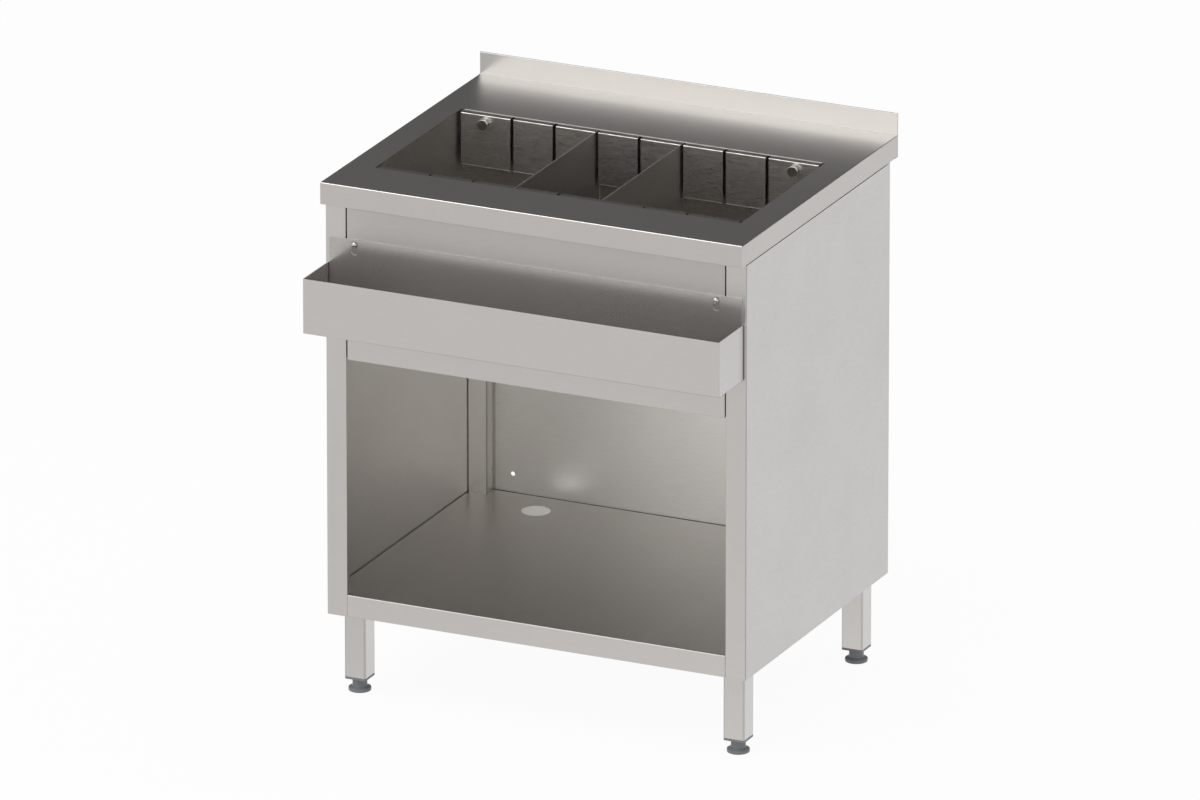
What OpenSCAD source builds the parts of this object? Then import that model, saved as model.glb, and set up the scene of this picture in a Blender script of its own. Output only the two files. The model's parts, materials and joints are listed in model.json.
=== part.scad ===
// Free-standing stainless bar station: a worktop with a sunken, insulated ice bin,
// comb racks with lift-out dividers, a hung bottle rail, an open cabinet and four levelling feet.
// Millimetres. The origin is on the floor, midway across the width and the whole depth.
// The front faces -Y. All sheet pieces are drawn at their real thickness.

/* [Worktop] */
// Width of the worktop
worktop_w = 800; // [780:5:1200]
// Depth of the worktop, upstand included
worktop_d = 650; // [640:5:800]
// Height of the worktop above the floor
worktop_h = 950; // [930:5:1000]
// Thickness of the worktop sheet
worktop_t = 1.5; // [1:0.1:2]
// Height of the apron folded down round the worktop
apron_h = 40; // [35:1:60]
// Width of the hem turned in under the apron
hem_w = 15; // [10:1:18]
// Outer bend radius of the worktop edges
worktop_r = 2.5; // [2.2:0.1:4]
// Height of the upstand above the worktop
upstand_h = 40; // [20:1:100]
// Thickness of the doubled upstand
upstand_t = 3; // [3:0.5:10]
// Thickness of the stiffening boards glued under the worktop
board_t = 16; // [10:1:22]
// Width of the channel bearers between worktop and cabinet
bearer_w = 14; // [12:0.5:14]

/* [Cabinet] */
// Set-back of the cabinet sides behind the worktop sides
side_inset = 1; // [0:0.5:4]
// Set-back of the cabinet front behind the worktop front
front_overhang = 20; // [10:1:40]
// Set-back of the cabinet rear behind the worktop rear
rear_overhang = 30; // [10:1:40]
// Height of the cabinet's lower edge above the floor
cabinet_base = 152; // [120:1:200]
// Shadow gap between the worktop hem and the cabinet
worktop_gap = 2; // [1:0.5:5]
// Thickness of the cabinet sheet
panel_t = 1; // [0.8:0.1:1.5]
// Outer bend radius of the cabinet sheet
panel_r = 2; // [1.8:0.1:3]
// Width of the front stiles
stile_w = 38.3; // [34:0.1:45]
// Depth of the return folded in from each stile
stile_return = 12; // [8:1:20]
// Width of the side panels' top flanges
top_flange_w = 27; // [26:1:28]
// Width of the side panels' bottom flanges
bottom_flange_w = 13; // [10:1:13]
// Width of the side panels' rear flanges
rear_flange_w = 54; // [48:1:60]

/* [Front and rear panels] */
// Height of the front panel
front_panel_h = 282.5; // [270:0.5:300]
// Groove between the front panel and each stile
panel_groove = 2.4; // [1:0.1:4]
// Depth of the front panel's top and bottom flanges
panel_flange = 22; // [15:1:30]
// Depth of the rear corner posts
post_d = 31; // [20:1:45]
// Gap between a rear corner post and the side panel
post_gap = 1.2; // [1:0.5:4]
// Gap between a rear corner post and the rear panel
rear_panel_gap = 2.6; // [1:0.1:4]
// Diameter of the pipe hole in the rear panel
rear_hole_d = 8; // [6:0.5:30]
// Distance of the rear pipe hole from the cabinet side
rear_hole_x = 75; // [70:1:300]
// Height of the rear pipe hole above the shelf
rear_hole_z = 34; // [25:1:200]

/* [Shelf] */
// Thickness of the shelf sheet
shelf_t = 1.2; // [1:0.1:2]
// Height of the shelf's front apron
shelf_apron_h = 40; // [35:1:50]
// Joint between the shelf and the cabinet sides
shelf_joint = 0.6; // [0.3:0.1:1]
// Diameter of the drain pipe hole in the shelf
shelf_hole_d = 52; // [40:1:70]
// Distance of the shelf hole from the cabinet side
shelf_hole_x = 153; // [120:1:300]
// Distance of the shelf hole from the cabinet rear
shelf_hole_y = 73; // [60:1:90]
// Height of the hat channels under the shelf
stiffener_h = 25; // [15:1:30]
// Width of the hat channels' crown
stiffener_w = 40; // [30:1:60]

/* [Legs and feet] */
// Side of the square leg tube
leg_w = 40; // [35:1:45]
// Wall of the leg tube
leg_t = 1.5; // [1.2:0.1:2]
// Outer corner radius of the leg tube
leg_r = 3; // [2.5:0.1:4]
// Distance of the legs from the cabinet sides
leg_inset_x = 17; // [14:1:25]
// Distance of the legs from the cabinet front and rear
leg_inset_y = 32; // [28:1:45]
// Side of the mounting plate on each leg
leg_plate_w = 60; // [60:1:62]
// Thickness of the leg mounting plate
leg_plate_t = 3; // [2:0.5:5]
// Thickness of the leg plug's flange
plug_flange_t = 4.5; // [3:0.5:8]
// Length of the leg plug inside the tube
plug_l = 28; // [20:1:40]
// Diameter of the foot disc
foot_d = 40; // [30:1:50]
// Height of the foot disc's rim
foot_rim_h = 4.5; // [3:0.5:6]
// Diameter of the foot neck
neck_d = 26; // [20:1:28]
// Height of the foot, floor to the top of its neck
foot_h = 23.2; // [16:0.2:30]
// Diameter of the foot's threaded stud
foot_stud_d = 10; // [8:1:12]
// How far a foot can be screwed out
foot_travel = 25; // [15:1:30]

/* [Bottle rail] */
// Set-back of the bottle rail's ends from the worktop's sides
rail_inset = 6; // [6:1:30]
// Height of the bottle rail's front
rail_h = 100; // [60:1:120]
// Depth of the bottle rail
rail_d = 100.5; // [70:0.5:140]
// Thickness of the bottle rail's sheet
rail_t = 1.2; // [1:0.1:1.5]
// Distance of the rail's rim below the worktop
rail_drop = 150; // [145:1:170]
// Height of the rail's back plate above its rim
rail_back_h = 48; // [46:1:52]
// Gap between the rail's back plate and the cabinet
rail_standoff = 0.5; // [0.3:0.1:4]
// Outer bend radius of the rail's rear corners
rail_corner_r = 2.5; // [2:0.5:5]
// Distance of the hanging bolts from the rail's ends
rail_bolt_inset = 51; // [46:1:90]
// Distance of the hanging bolts above the rail's rim
rail_bolt_rise = 38.5; // [36:0.5:42]
// Height the rail lifts to come off its bolts
rail_lift = 12.5; // [11:0.5:14]
// Shoulder diameter of the hanging bolts
bolt_d = 6; // [5:1:6]
// Head diameter of the hanging bolts
bolt_head_d = 12; // [10:0.5:13]

/* [Ice bin] */
// Distance of the ice bin from the worktop's sides
bin_side = 53; // [51:1:90]
// Inside depth of the ice bin, front to rear
bin_d = 350; // [300:5:370]
// Depth of the bin floor below the worktop
bin_depth = 260; // [220:5:270]
// Distance of the bin from the worktop's front edge
bin_front = 110; // [100:1:130]
// Thickness of the bin sheet
bin_t = 1.2; // [1:0.1:1.5]
// Width of the bin's welding flange under the worktop
bin_flange = 12; // [8:1:15]
// Thickness of the foam round the bin
foam_t = 20; // [15:1:20]
// Thickness of the outer jacket
jacket_t = 0.8; // [0.6:0.1:0.8]

/* [Racks and dividers] */
// Thickness of the comb racks
rack_t = 1.5; // [1:0.1:2]
// Height of the comb racks
rack_h = 96; // [60:1:150]
// Depth of the lip folded back along a rack's lower edge
rack_lip = 8; // [5:0.5:9]
// Distance of a comb rack's face from the bin wall
rack_reach = 15; // [13:0.5:25]
// Distance of the rack top below the worktop
rack_drop = 1; // [0.5:0.5:6]
// Gap between the rack ends and the bin sides
rack_end_gap = 5.5; // [2:0.5:10]
// Width of the rack slots
slot_w = 6; // [4:0.5:8]
// Distance between neighbouring slots
slot_pitch = 81.25; // [70:0.25:84]
// Width of the strip that joins the teeth at the bin wall
rack_strip = 2.5; // [2:0.1:4]
// Thickness of the dividers
divider_t = 1.5; // [1:0.1:2]
// Which slot each divider stands in, counted from the middle
divider_slot = 1; // [1:1:3]
// Diameter of the rack buttons
button_d = 20; // [14:1:26]
// Length of the rack buttons
button_l = 10; // [8:1:14]
// Distance of the buttons from the rack ends
button_inset = 45.5; // [30:0.5:60]
// Distance of the buttons below the rack top
button_drop = 15.5; // [14:0.5:30]
// Diameter of the rack studs
rack_stud_d = 5; // [4:0.5:6]

/* [Drain] */
// Outer diameter of the drain's thread
drain_d = 47.8; // [40:0.2:50]
// Outer diameter of the hose tail below the thread
hose_tail_d = 43.8; // [34:0.2:44]
// Wall of the hose tail
drain_wall = 3; // [2:0.1:5]
// Length of the drain below the jacket
drain_tail_l = 60; // [40:1:90]
// Diameter of the drain flange in the bin
drain_flange_d = 80; // [70:1:90]
// Diameter of the strainer holes
strainer_hole_d = 6; // [4:0.5:7]

/* [Hidden] */
$fn = 48;
clear = 0.3;
thread_clear = 0.05;
plug_clear = 0.1;
through = 1;
hex_share = 1.9;
nut_h = 5;
hex_head_h = 4;

half_w = worktop_w / 2;
rail_reach = rail_d + rail_standoff - front_overhang;
total_d = worktop_d + rail_reach;
top_y0 = rail_reach - total_d / 2;
top_y1 = top_y0 + worktop_d;

side_x = half_w - side_inset;
side_in = side_x - panel_t;
stile_in = side_x - stile_w;
cab_y0 = top_y0 + front_overhang;
cab_y1 = top_y1 - rear_overhang;
hem_z = worktop_h - apron_h;
cab_top = hem_z - worktop_gap;
shelf_z = cabinet_base + shelf_apron_h;

front_panel_x = stile_in - panel_groove;
front_panel_z = cab_top - front_panel_h;
ear_y = cab_y0 + stile_return + clear;
ear_l = 20;
rear_panel_x = stile_in - rear_panel_gap;
rear_panel_y = cab_y1 - panel_t;
post_y = rear_panel_y - post_d + panel_t;
post_hole_d = 4;
post_hole_inset = 6;
post_hole_rise = 38;

bin_x = half_w - bin_side;
bin_y0 = top_y0 + bin_front;
bin_y1 = bin_y0 + bin_d;
bin_mid = (bin_y0 + bin_y1) / 2;
bin_z = worktop_h - bin_depth;
under_top = worktop_h - worktop_t;
foam_in = bin_t;
foam_out = foam_in + foam_t;
jacket_out = foam_out + jacket_t;
jacket_z = bin_z - jacket_out;

gasket_t = 2;
drain_flange_t = 3;
drain_nut_h = 10;
drain_nut_rim = 21;
strainer_t = 1;
strainer_d = drain_flange_d - 12;
drain_bottom = jacket_z - drain_tail_l;
drain_thread_z = jacket_z - drain_nut_h - 3;

bearer_x = side_x - top_flange_w;
bearer_t = 1.5;
board_gap = 1;
worktop_bolt_d = 6;
worktop_bolt_inset = 60;
worktop_bolt_l = 14;

leg_x = side_x - leg_inset_x - leg_w / 2;
leg_y0 = cab_y0 + leg_inset_y + leg_w / 2;
leg_y1 = cab_y1 - leg_inset_y - leg_w / 2;
plug_z = foot_h + clear;
leg_z = plug_z + plug_flange_t;
deck_under = shelf_z - shelf_t;
leg_bolt_d = 6;
leg_bolt_span = leg_plate_w - 9;
leg_bolt_l = 12;
LEGS = [[-leg_x, leg_y0], [leg_x, leg_y0], [-leg_x, leg_y1], [leg_x, leg_y1]];

rail_x = half_w - rail_inset;
rail_back_y = cab_y0 - rail_standoff;
rail_plate_x = rail_x - rail_corner_r;
rail_y0 = rail_back_y - rail_d;
rail_rim_z = worktop_h - rail_drop;
rail_z0 = rail_rim_z - rail_h;
rail_top_z = rail_rim_z + rail_back_h;
rail_bolt_x = rail_x - rail_bolt_inset;
rail_bolt_z = rail_rim_z + rail_bolt_rise;
rail_thread_d = bolt_d - 1;
rail_thread_l = 10;
key_slot_w = bolt_d + 2 * clear;
key_entry_d = bolt_head_d + 1;

rack_top = worktop_h - rack_drop;
rack_x = bin_x - rack_end_gap;
rack_r = 2.5;
button_x = rack_x - button_inset;
slot_count = 1 + 2 * floor((button_x - button_d / 2 - slot_w) / slot_pitch);
button_cap = 2;
button_z = rack_top - button_drop;
divider_y = bin_d / 2 - rack_strip - 2 * clear;
divider_h = rack_top - bin_z - clear;
divider_play = -1.4;

// A block between two opposite corners.
module block(low, high) {
    translate(low) cube(high - low);
}

// A flat outline drawn in Y and Z, run along X.
module along_x(x0, x1) {
    translate([x0, 0, 0]) rotate([90, 0, 90]) linear_extrude(x1 - x0) children();
}

// A flat outline drawn in X and Z, run along Y.
module along_y(y0, y1) {
    translate([0, y1, 0]) rotate([90, 0, 0]) linear_extrude(y1 - y0) children();
}

// A flat outline drawn in X and Y, run along Z.
module along_z(z0, z1) {
    translate([0, 0, z0]) linear_extrude(z1 - z0) children();
}

// A straight strip of a folded sheet, between two opposite corners.
module strip(low, high) {
    translate(low) square(high - low);
}

// The quarter bend of a folded sheet, about its centre; turn says which way it faces.
module bend(centre, turn, radius, thick) {
    translate(centre) rotate(turn) intersection() {
        difference() {
            circle(radius);
            circle(radius - thick);
        }
        square(radius);
    }
}

// A square with round corners, about its centre.
module round_square(side, radius) {
    square([side - 2 * radius, side], center = true);
    square([side, side - 2 * radius], center = true);
    for (x = [-1, 1], y = [-1, 1])
        translate([x, y] * (side / 2 - radius)) circle(radius);
}

// The same piece on the left and on the right.
module both_sides() {
    children();
    mirror([1, 0, 0]) children();
}

// A shell-shaped block whose front, left and right top edges and front corners are round.
module pan(x, y0, y1, z0, z1, radius) {
    block([-x + radius, y0, z0], [x - radius, y1, z1 - radius]);
    block([-x, y0 + radius, z0], [x, y1, z1 - radius]);
    block([-x + radius, y0 + radius, z0], [x - radius, y1, z1]);
    translate([-x + radius, y0 + radius, z1 - radius]) rotate([0, 90, 0])
        cylinder(h = 2 * (x - radius), r = radius);
    both_sides() {
        translate([x - radius, y0 + radius, z0]) cylinder(h = z1 - radius - z0, r = radius);
        translate([x - radius, y0 + radius, z1 - radius]) sphere(radius);
        translate([x - radius, y1, z1 - radius]) rotate([90, 0, 0])
            cylinder(h = y1 - y0 - radius, r = radius);
    }
}

// The pressed worktop: top, apron, hem and upstand, with the bin opening.
module worktop() {
    in_x = half_w - worktop_t;
    hem_in = half_w - hem_w;
    color("silver") difference() {
        union() {
            pan(half_w, top_y0, top_y1, hem_z, worktop_h, worktop_r);
            block([-half_w, top_y1 - upstand_t, worktop_h - worktop_r],
                [half_w, top_y1, worktop_h + upstand_h]);
        }
        pan(in_x, top_y0 + worktop_t, top_y1 - worktop_t, hem_z + worktop_t, under_top,
            worktop_r - worktop_t);
        block([-hem_in, top_y0 + hem_w, hem_z - through], [hem_in, top_y1 - hem_w, hem_z + 2 * worktop_t]);
        block([-bin_x, bin_y0, under_top - worktop_r], [bin_x, bin_y1, worktop_h + through]);
    }
}

// A stiffening board under the worktop, between two depths.
module worktop_board(y0, y1) {
    x = bearer_x - clear;
    color("saddlebrown") block([-x, y0, under_top - board_t], [x, y1, under_top]);
}

module worktop_board_front() {
    worktop_board(top_y0 + worktop_t + board_gap, bin_y0 - jacket_out - board_gap);
}

module worktop_board_rear() {
    worktop_board(bin_y1 + jacket_out + board_gap, top_y1 - worktop_t - board_gap);
}

// Places for the worktop bolts on the right side: front and rear.
WORKTOP_BOLTS = [
    [bearer_x + bearer_w / 2, cab_y0 + worktop_bolt_inset],
    [bearer_x + bearer_w / 2, cab_y1 - worktop_bolt_inset]
];

// The channel that carries the worktop on a side panel, drawn for the right side.
module worktop_bearer() {
    x1 = bearer_x + bearer_w;
    color("gainsboro") difference() {
        along_y(cab_y0 + panel_r, cab_y1 - panel_r) {
            strip([bearer_x, cab_top], [bearer_x + bearer_t, under_top]);
            strip([bearer_x, cab_top], [x1, cab_top + bearer_t]);
            strip([bearer_x, under_top - bearer_t], [x1, under_top]);
        }
        for (p = WORKTOP_BOLTS)
            translate([p.x, p.y, cab_top - through])
                cylinder(h = bearer_t + 2 * through, d = worktop_bolt_d + clear);
    }
}

module worktop_bearer_left() {
    mirror([1, 0, 0]) worktop_bearer();
}

module worktop_bearer_right() {
    worktop_bearer();
}

// A hexagon bolt that points up, with its head below the origin and its shank above.
module hex_bolt(d, length) {
    translate([0, 0, -hex_head_h]) cylinder(h = hex_head_h, d = hex_share * d, $fn = 6);
    cylinder(h = length, d = d);
}

// A hexagon nut round a shank of the given diameter: width across corners, height.
module hex_nut(d, corners, height) {
    difference() {
        cylinder(h = height, d = corners, $fn = 6);
        translate([0, 0, -through]) cylinder(h = height + 2 * through, d = d + 2 * thread_clear);
    }
}

module worktop_bolts() {
    color("lightgray") both_sides() for (p = WORKTOP_BOLTS)
        translate([p.x, p.y, cab_top - panel_t])
            hex_bolt(worktop_bolt_d, worktop_bolt_l);
}

module worktop_nuts() {
    color("lightgray") both_sides() for (p = WORKTOP_BOLTS)
        translate([p.x, p.y, cab_top + bearer_t]) rotate(30)
            hex_nut(worktop_bolt_d, hex_share * worktop_bolt_d, nut_h);
}

// The folded outline of the right side panel, seen from above.
module side_outline() {
    strip([side_in, cab_y0 + panel_r], [side_x, cab_y1 - panel_r]);
    bend([side_x - panel_r, cab_y0 + panel_r], -90, panel_r, panel_t);
    strip([stile_in + panel_r, cab_y0], [side_x - panel_r, cab_y0 + panel_t]);
    bend([stile_in + panel_r, cab_y0 + panel_r], 180, panel_r, panel_t);
    strip([stile_in, cab_y0 + panel_r], [stile_in + panel_t, cab_y0 + stile_return]);
    bend([side_x - panel_r, cab_y1 - panel_r], 0, panel_r, panel_t);
    strip([side_x - rear_flange_w, cab_y1 - panel_t], [side_x - panel_r, cab_y1]);
}

// The right side panel: stile, side, rear flange, top and bottom flanges.
module side_panel() {
    overlap = side_in + panel_t / 2;
    color("lightgray") difference() {
        union() {
            along_z(cabinet_base, cab_top) side_outline();
            block([side_x - top_flange_w, cab_y0 + panel_t / 2, cab_top - panel_t],
                [overlap, cab_y1 - panel_t / 2, cab_top]);
            block([side_x - bottom_flange_w, cab_y0 + panel_t / 2, cabinet_base],
                [overlap, cab_y1 - panel_t / 2, cabinet_base + panel_t]);
        }
        for (p = WORKTOP_BOLTS)
            translate([p.x, p.y, cab_top - panel_t - through])
                cylinder(h = panel_t + 2 * through, d = worktop_bolt_d + clear);
    }
}

module side_panel_left() {
    mirror([1, 0, 0]) side_panel();
}

module side_panel_right() {
    side_panel();
}

// The folded rear corner post inside the cabinet, drawn for the right side.
module rear_post() {
    hole_z = shelf_z + post_hole_rise;
    color("lightgray") difference() {
        along_z(shelf_z, cab_top - panel_t) {
            strip([stile_in + panel_r, post_y], [side_in - post_gap, post_y + panel_t]);
            bend([stile_in + panel_r, post_y + panel_r], 180, panel_r, panel_t);
            strip([stile_in, post_y + panel_r], [stile_in + panel_t, cab_y1 - panel_t]);
        }
        translate([stile_in - through, rear_panel_y - post_hole_inset, hole_z]) rotate([0, 90, 0])
            cylinder(h = panel_t + 2 * through, d = post_hole_d);
    }
}

module rear_post_left() {
    mirror([1, 0, 0]) rear_post();
}

module rear_post_right() {
    rear_post();
}

// The front panel's outline behind its web, seen from above: returns, ears and side flanges.
module front_panel_ear() {
    strip([front_panel_x - panel_t, cab_y0 + panel_r], [front_panel_x, ear_y + panel_t]);
    strip([front_panel_x - panel_t, ear_y], [side_in, ear_y + panel_t]);
    strip([side_in - panel_t, ear_y], [side_in, ear_y + ear_l]);
}

// Places of the two hanging bolts of the bottle rail.
module at_rail_bolts() {
    both_sides() translate([rail_bolt_x, 0, rail_bolt_z]) rotate([90, 0, 0]) children();
}

// The front panel between the stiles, behind the bottle rail.
module front_panel() {
    web_x = front_panel_x - panel_r;
    color("lightgray") difference() {
        union() {
            along_z(front_panel_z + panel_r, cab_top) {
                strip([-web_x, cab_y0], [web_x, cab_y0 + panel_t]);
                bend([web_x, cab_y0 + panel_r], -90, panel_r, panel_t);
                bend([-web_x, cab_y0 + panel_r], 180, panel_r, panel_t);
            }
            along_z(front_panel_z + panel_r, cab_top - 2 * panel_t) both_sides() front_panel_ear();
            along_x(-web_x, web_x) {
                bend([cab_y0 + panel_r, front_panel_z + panel_r], 180, panel_r, panel_t);
                strip([cab_y0 + panel_r, front_panel_z], [cab_y0 + panel_flange, front_panel_z + panel_t]);
                strip([cab_y0 + panel_t / 2, cab_top - panel_t], [cab_y0 + panel_flange, cab_top]);
            }
        }
        at_rail_bolts() translate([0, 0, -cab_y0 - 2 * panel_t])
            cylinder(h = 4 * panel_t, d = rail_thread_d + 2 * thread_clear);
    }
}

// The flat rear panel, with its pipe hole.
module rear_panel() {
    color("darkgray") difference() {
        block([-rear_panel_x, rear_panel_y - panel_t, shelf_z],
            [rear_panel_x, rear_panel_y, cab_top - panel_t]);
        translate([-side_x + rear_hole_x, rear_panel_y + through, shelf_z + rear_hole_z]) rotate([90, 0, 0])
            cylinder(h = panel_t + 2 * through, d = rear_hole_d);
    }
}

// The pressed bottom shelf: deck, front apron with a hem, side and rear skirts, drain pipe hole.
module bottom_shelf() {
    apron_x = stile_in - shelf_joint;
    deck_x = side_in - shelf_joint;
    deck_y0 = cab_y0 + stile_return + shelf_joint;
    deck_y1 = rear_panel_y - shelf_joint;
    skirt_z = cabinet_base + panel_t;
    deck_mid = shelf_z - shelf_t / 2;
    bend_r = panel_r;
    color("gray") difference() {
        union() {
            along_x(-apron_x, apron_x) {
                strip([cab_y0, cabinet_base + bend_r], [cab_y0 + shelf_t, shelf_z - bend_r]);
                bend([cab_y0 + bend_r, shelf_z - bend_r], 90, bend_r, shelf_t);
                strip([cab_y0 + bend_r, deck_under], [deck_y1, shelf_z]);
                bend([cab_y0 + bend_r, cabinet_base + bend_r], 180, bend_r, shelf_t);
                strip([cab_y0 + bend_r, cabinet_base], [cab_y0 + hem_w, cabinet_base + shelf_t]);
            }
            block([-deck_x, deck_y0, deck_under], [deck_x, deck_y1, shelf_z]);
            both_sides() block([deck_x - shelf_t, deck_y0, skirt_z], [deck_x, deck_y1, deck_mid]);
            block([-deck_x, deck_y1 - shelf_t, skirt_z], [deck_x, deck_y1, deck_mid]);
        }
        translate([-side_x + shelf_hole_x, cab_y1 - shelf_hole_y, deck_under - through])
            cylinder(h = shelf_t + 2 * through, d = shelf_hole_d);
    }
}

// A hat channel under the shelf, at the given share of the way between the leg plates.
module shelf_stiffener(share) {
    lip = 15;
    length = side_in - bottom_flange_w;
    y_low = leg_y0 + leg_plate_w / 2 + stiffener_w;
    y_high = leg_y1 - leg_plate_w / 2 - 2 * stiffener_w;
    y = y_low + share * (y_high - y_low);
    half = stiffener_w / 2;
    z0 = deck_under - stiffener_h;
    color("darkgray") along_x(-length, length) {
        strip([y - half, z0], [y + half, z0 + shelf_t]);
        for (s = [-1, 1]) {
            translate([y + s * (half - shelf_t / 2), z0 + stiffener_h / 2])
                square([shelf_t, stiffener_h], center = true);
            translate([y + s * (half + lip / 2 - shelf_t), deck_under - shelf_t / 2])
                square([lip, shelf_t], center = true);
        }
    }
}

module shelf_stiffener_front() {
    shelf_stiffener(0.15);
}

module shelf_stiffener_rear() {
    shelf_stiffener(0.85);
}

// The four bolt places of a leg plate, about the leg's centre.
module at_leg_bolts() {
    for (x = [-1, 1], y = [-1, 1]) translate([x, y, 0] * leg_bolt_span / 2) children();
}

// A square leg tube welded to its mounting plate; leg gives its place in LEGS.
module leg(index) {
    color("lightgray") translate([LEGS[index].x, LEGS[index].y, 0]) difference() {
        union() {
            along_z(leg_z, deck_under) round_square(leg_w, leg_r);
            block([-leg_plate_w / 2, -leg_plate_w / 2, deck_under - leg_plate_t],
                [leg_plate_w / 2, leg_plate_w / 2, deck_under]);
        }
        along_z(leg_z - through, deck_under - leg_plate_t) round_square(leg_w - 2 * leg_t, leg_r - leg_t);
        translate([0, 0, deck_under - leg_plate_t - through]) at_leg_bolts()
            cylinder(h = leg_plate_t + 2 * through, d = leg_bolt_d + clear);
    }
}

module leg_front_left() {
    leg(0);
}

module leg_front_right() {
    leg(1);
}

module leg_rear_left() {
    leg(2);
}

module leg_rear_right() {
    leg(3);
}

// Weld studs under the deck that carry the leg plates.
module leg_bolts() {
    color("lightgray") for (leg = LEGS)
        translate([leg.x, leg.y, deck_under - leg_bolt_l]) at_leg_bolts()
            cylinder(h = leg_bolt_l, d = leg_bolt_d);
}

module leg_nuts() {
    color("lightgray") for (leg = LEGS)
        translate([leg.x, leg.y, deck_under - leg_plate_t - nut_h]) at_leg_bolts()
            hex_nut(leg_bolt_d, hex_share * leg_bolt_d, nut_h);
}

// The plastic plug in the end of a leg, with the bore that the foot screws into.
module leg_plug(index) {
    side = leg_w - 2 * (leg_t + plug_clear);
    color("dimgray") translate([LEGS[index].x, LEGS[index].y, 0]) difference() {
        union() {
            along_z(plug_z, leg_z) round_square(leg_w, leg_r);
            along_z(leg_z - plug_flange_t / 2, leg_z + plug_l) round_square(side, leg_r - leg_t);
        }
        translate([0, 0, plug_z - through])
            cylinder(h = plug_flange_t + plug_l + 2 * through, d = foot_stud_d + 2 * thread_clear);
    }
}

module leg_plug_front_left() {
    leg_plug(0);
}

module leg_plug_front_right() {
    leg_plug(1);
}

module leg_plug_rear_left() {
    leg_plug(2);
}

module leg_plug_rear_right() {
    leg_plug(3);
}

// The round plastic foot: rim, shoulder and neck, with the seat of its stud.
module foot(index) {
    rim_r = foot_d / 2;
    neck_r = neck_d / 2;
    stud_r = foot_stud_d / 2 + thread_clear;
    edge = 1;
    shoulder_z = 2 * foot_rim_h;
    color("slategray") translate([LEGS[index].x, LEGS[index].y, 0]) rotate_extrude()
        polygon([
            [0, 0], [rim_r - edge, 0], [rim_r, edge], [rim_r, foot_rim_h],
            [rim_r - edge, foot_rim_h + edge], [neck_r + edge, shoulder_z - edge],
            [neck_r, shoulder_z + edge], [neck_r, foot_h],
            [stud_r, foot_h], [stud_r, foot_rim_h], [0, foot_rim_h]
        ]);
}

module foot_front_left() {
    foot(0);
}

module foot_front_right() {
    foot(1);
}

module foot_rear_left() {
    foot(2);
}

module foot_rear_right() {
    foot(3);
}

// The threaded stud moulded into a foot, long enough for the foot's travel.
module foot_stud(index) {
    grip = 15;
    top = leg_z + foot_travel + grip;
    color("silver") translate([LEGS[index].x, LEGS[index].y, foot_rim_h])
        cylinder(h = top - foot_rim_h, d = foot_stud_d);
}

module foot_stud_front_left() {
    foot_stud(0);
}

module foot_stud_front_right() {
    foot_stud(1);
}

module foot_stud_rear_left() {
    foot_stud(2);
}

module foot_stud_rear_right() {
    foot_stud(3);
}

// A rectangular tub with its open top at top_z: out is the distance of its outside from the bin.
module tub(out, thick, top_z) {
    inside = out - thick;
    difference() {
        block([-bin_x - out, bin_y0 - out, bin_z - out], [bin_x + out, bin_y1 + out, top_z]);
        block([-bin_x - inside, bin_y0 - inside, bin_z - inside],
            [bin_x + inside, bin_y1 + inside, top_z + through]);
    }
}

// The bin's shell, with the flange that is welded under the worktop and the drain hole.
module ice_bin() {
    color("dimgray") difference() {
        union() {
            tub(bin_t, bin_t, under_top);
            difference() {
                block([-bin_x - bin_flange, bin_y0 - bin_flange, under_top - bin_t],
                    [bin_x + bin_flange, bin_y1 + bin_flange, under_top]);
                block([-bin_x, bin_y0, under_top - 2 * bin_t], [bin_x, bin_y1, under_top + through]);
            }
        }
        translate([0, bin_mid, bin_z - bin_t - through])
            cylinder(h = bin_t + 2 * through, d = drain_d + 2 * clear);
    }
}

module bin_foam() {
    color("khaki") difference() {
        tub(foam_out, foam_t, under_top - bin_t);
        translate([0, bin_mid, bin_z - foam_out - through])
            cylinder(h = foam_t + 2 * through, d = drain_d + 2 * clear);
    }
}

module bin_jacket() {
    color("darkgray") difference() {
        tub(jacket_out, jacket_t, under_top - bin_t);
        translate([0, bin_mid, jacket_z - through])
            cylinder(h = jacket_t + 2 * through, d = drain_d + 2 * clear);
    }
}

// The drain's flange, thread and hose tail, turned about the drain's axis.
module drain_body() {
    z1 = bin_z + gasket_t + drain_flange_t;
    edge = 2;
    bore_r = hose_tail_d / 2 - drain_wall;
    color("silver") translate([0, bin_mid, 0]) rotate_extrude() polygon([
        [bore_r, drain_bottom], [hose_tail_d / 2, drain_bottom], [hose_tail_d / 2, drain_thread_z],
        [drain_d / 2, drain_thread_z], [drain_d / 2, bin_z + gasket_t],
        [drain_flange_d / 2, bin_z + gasket_t], [drain_flange_d / 2, z1 - edge],
        [drain_flange_d / 2 - edge, z1], [strainer_d / 2 + thread_clear, z1],
        [strainer_d / 2 + thread_clear, z1 - strainer_t], [bore_r, z1 - strainer_t]
    ]);
}

module drain_gasket() {
    color("black") translate([0, bin_mid, bin_z]) difference() {
        cylinder(h = gasket_t, d = drain_flange_d - 2);
        translate([0, 0, -through]) cylinder(h = gasket_t + 2 * through, d = drain_d + 2 * clear);
    }
}

// The perforated strainer: a middle hole and two rings of holes.
module drain_strainer() {
    z = bin_z + gasket_t + drain_flange_t - strainer_t;
    ring = strainer_hole_d * 1.9;
    color("silver") translate([0, bin_mid, z]) difference() {
        cylinder(h = strainer_t, d = strainer_d);
        translate([0, 0, -through]) {
            cylinder(h = strainer_t + 2 * through, d = strainer_hole_d);
            for (k = [1, 2], a = [0 : 60 / k : 359]) rotate(a) translate([k * ring, 0, 0])
                cylinder(h = strainer_t + 2 * through, d = strainer_hole_d);
        }
    }
}

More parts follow.
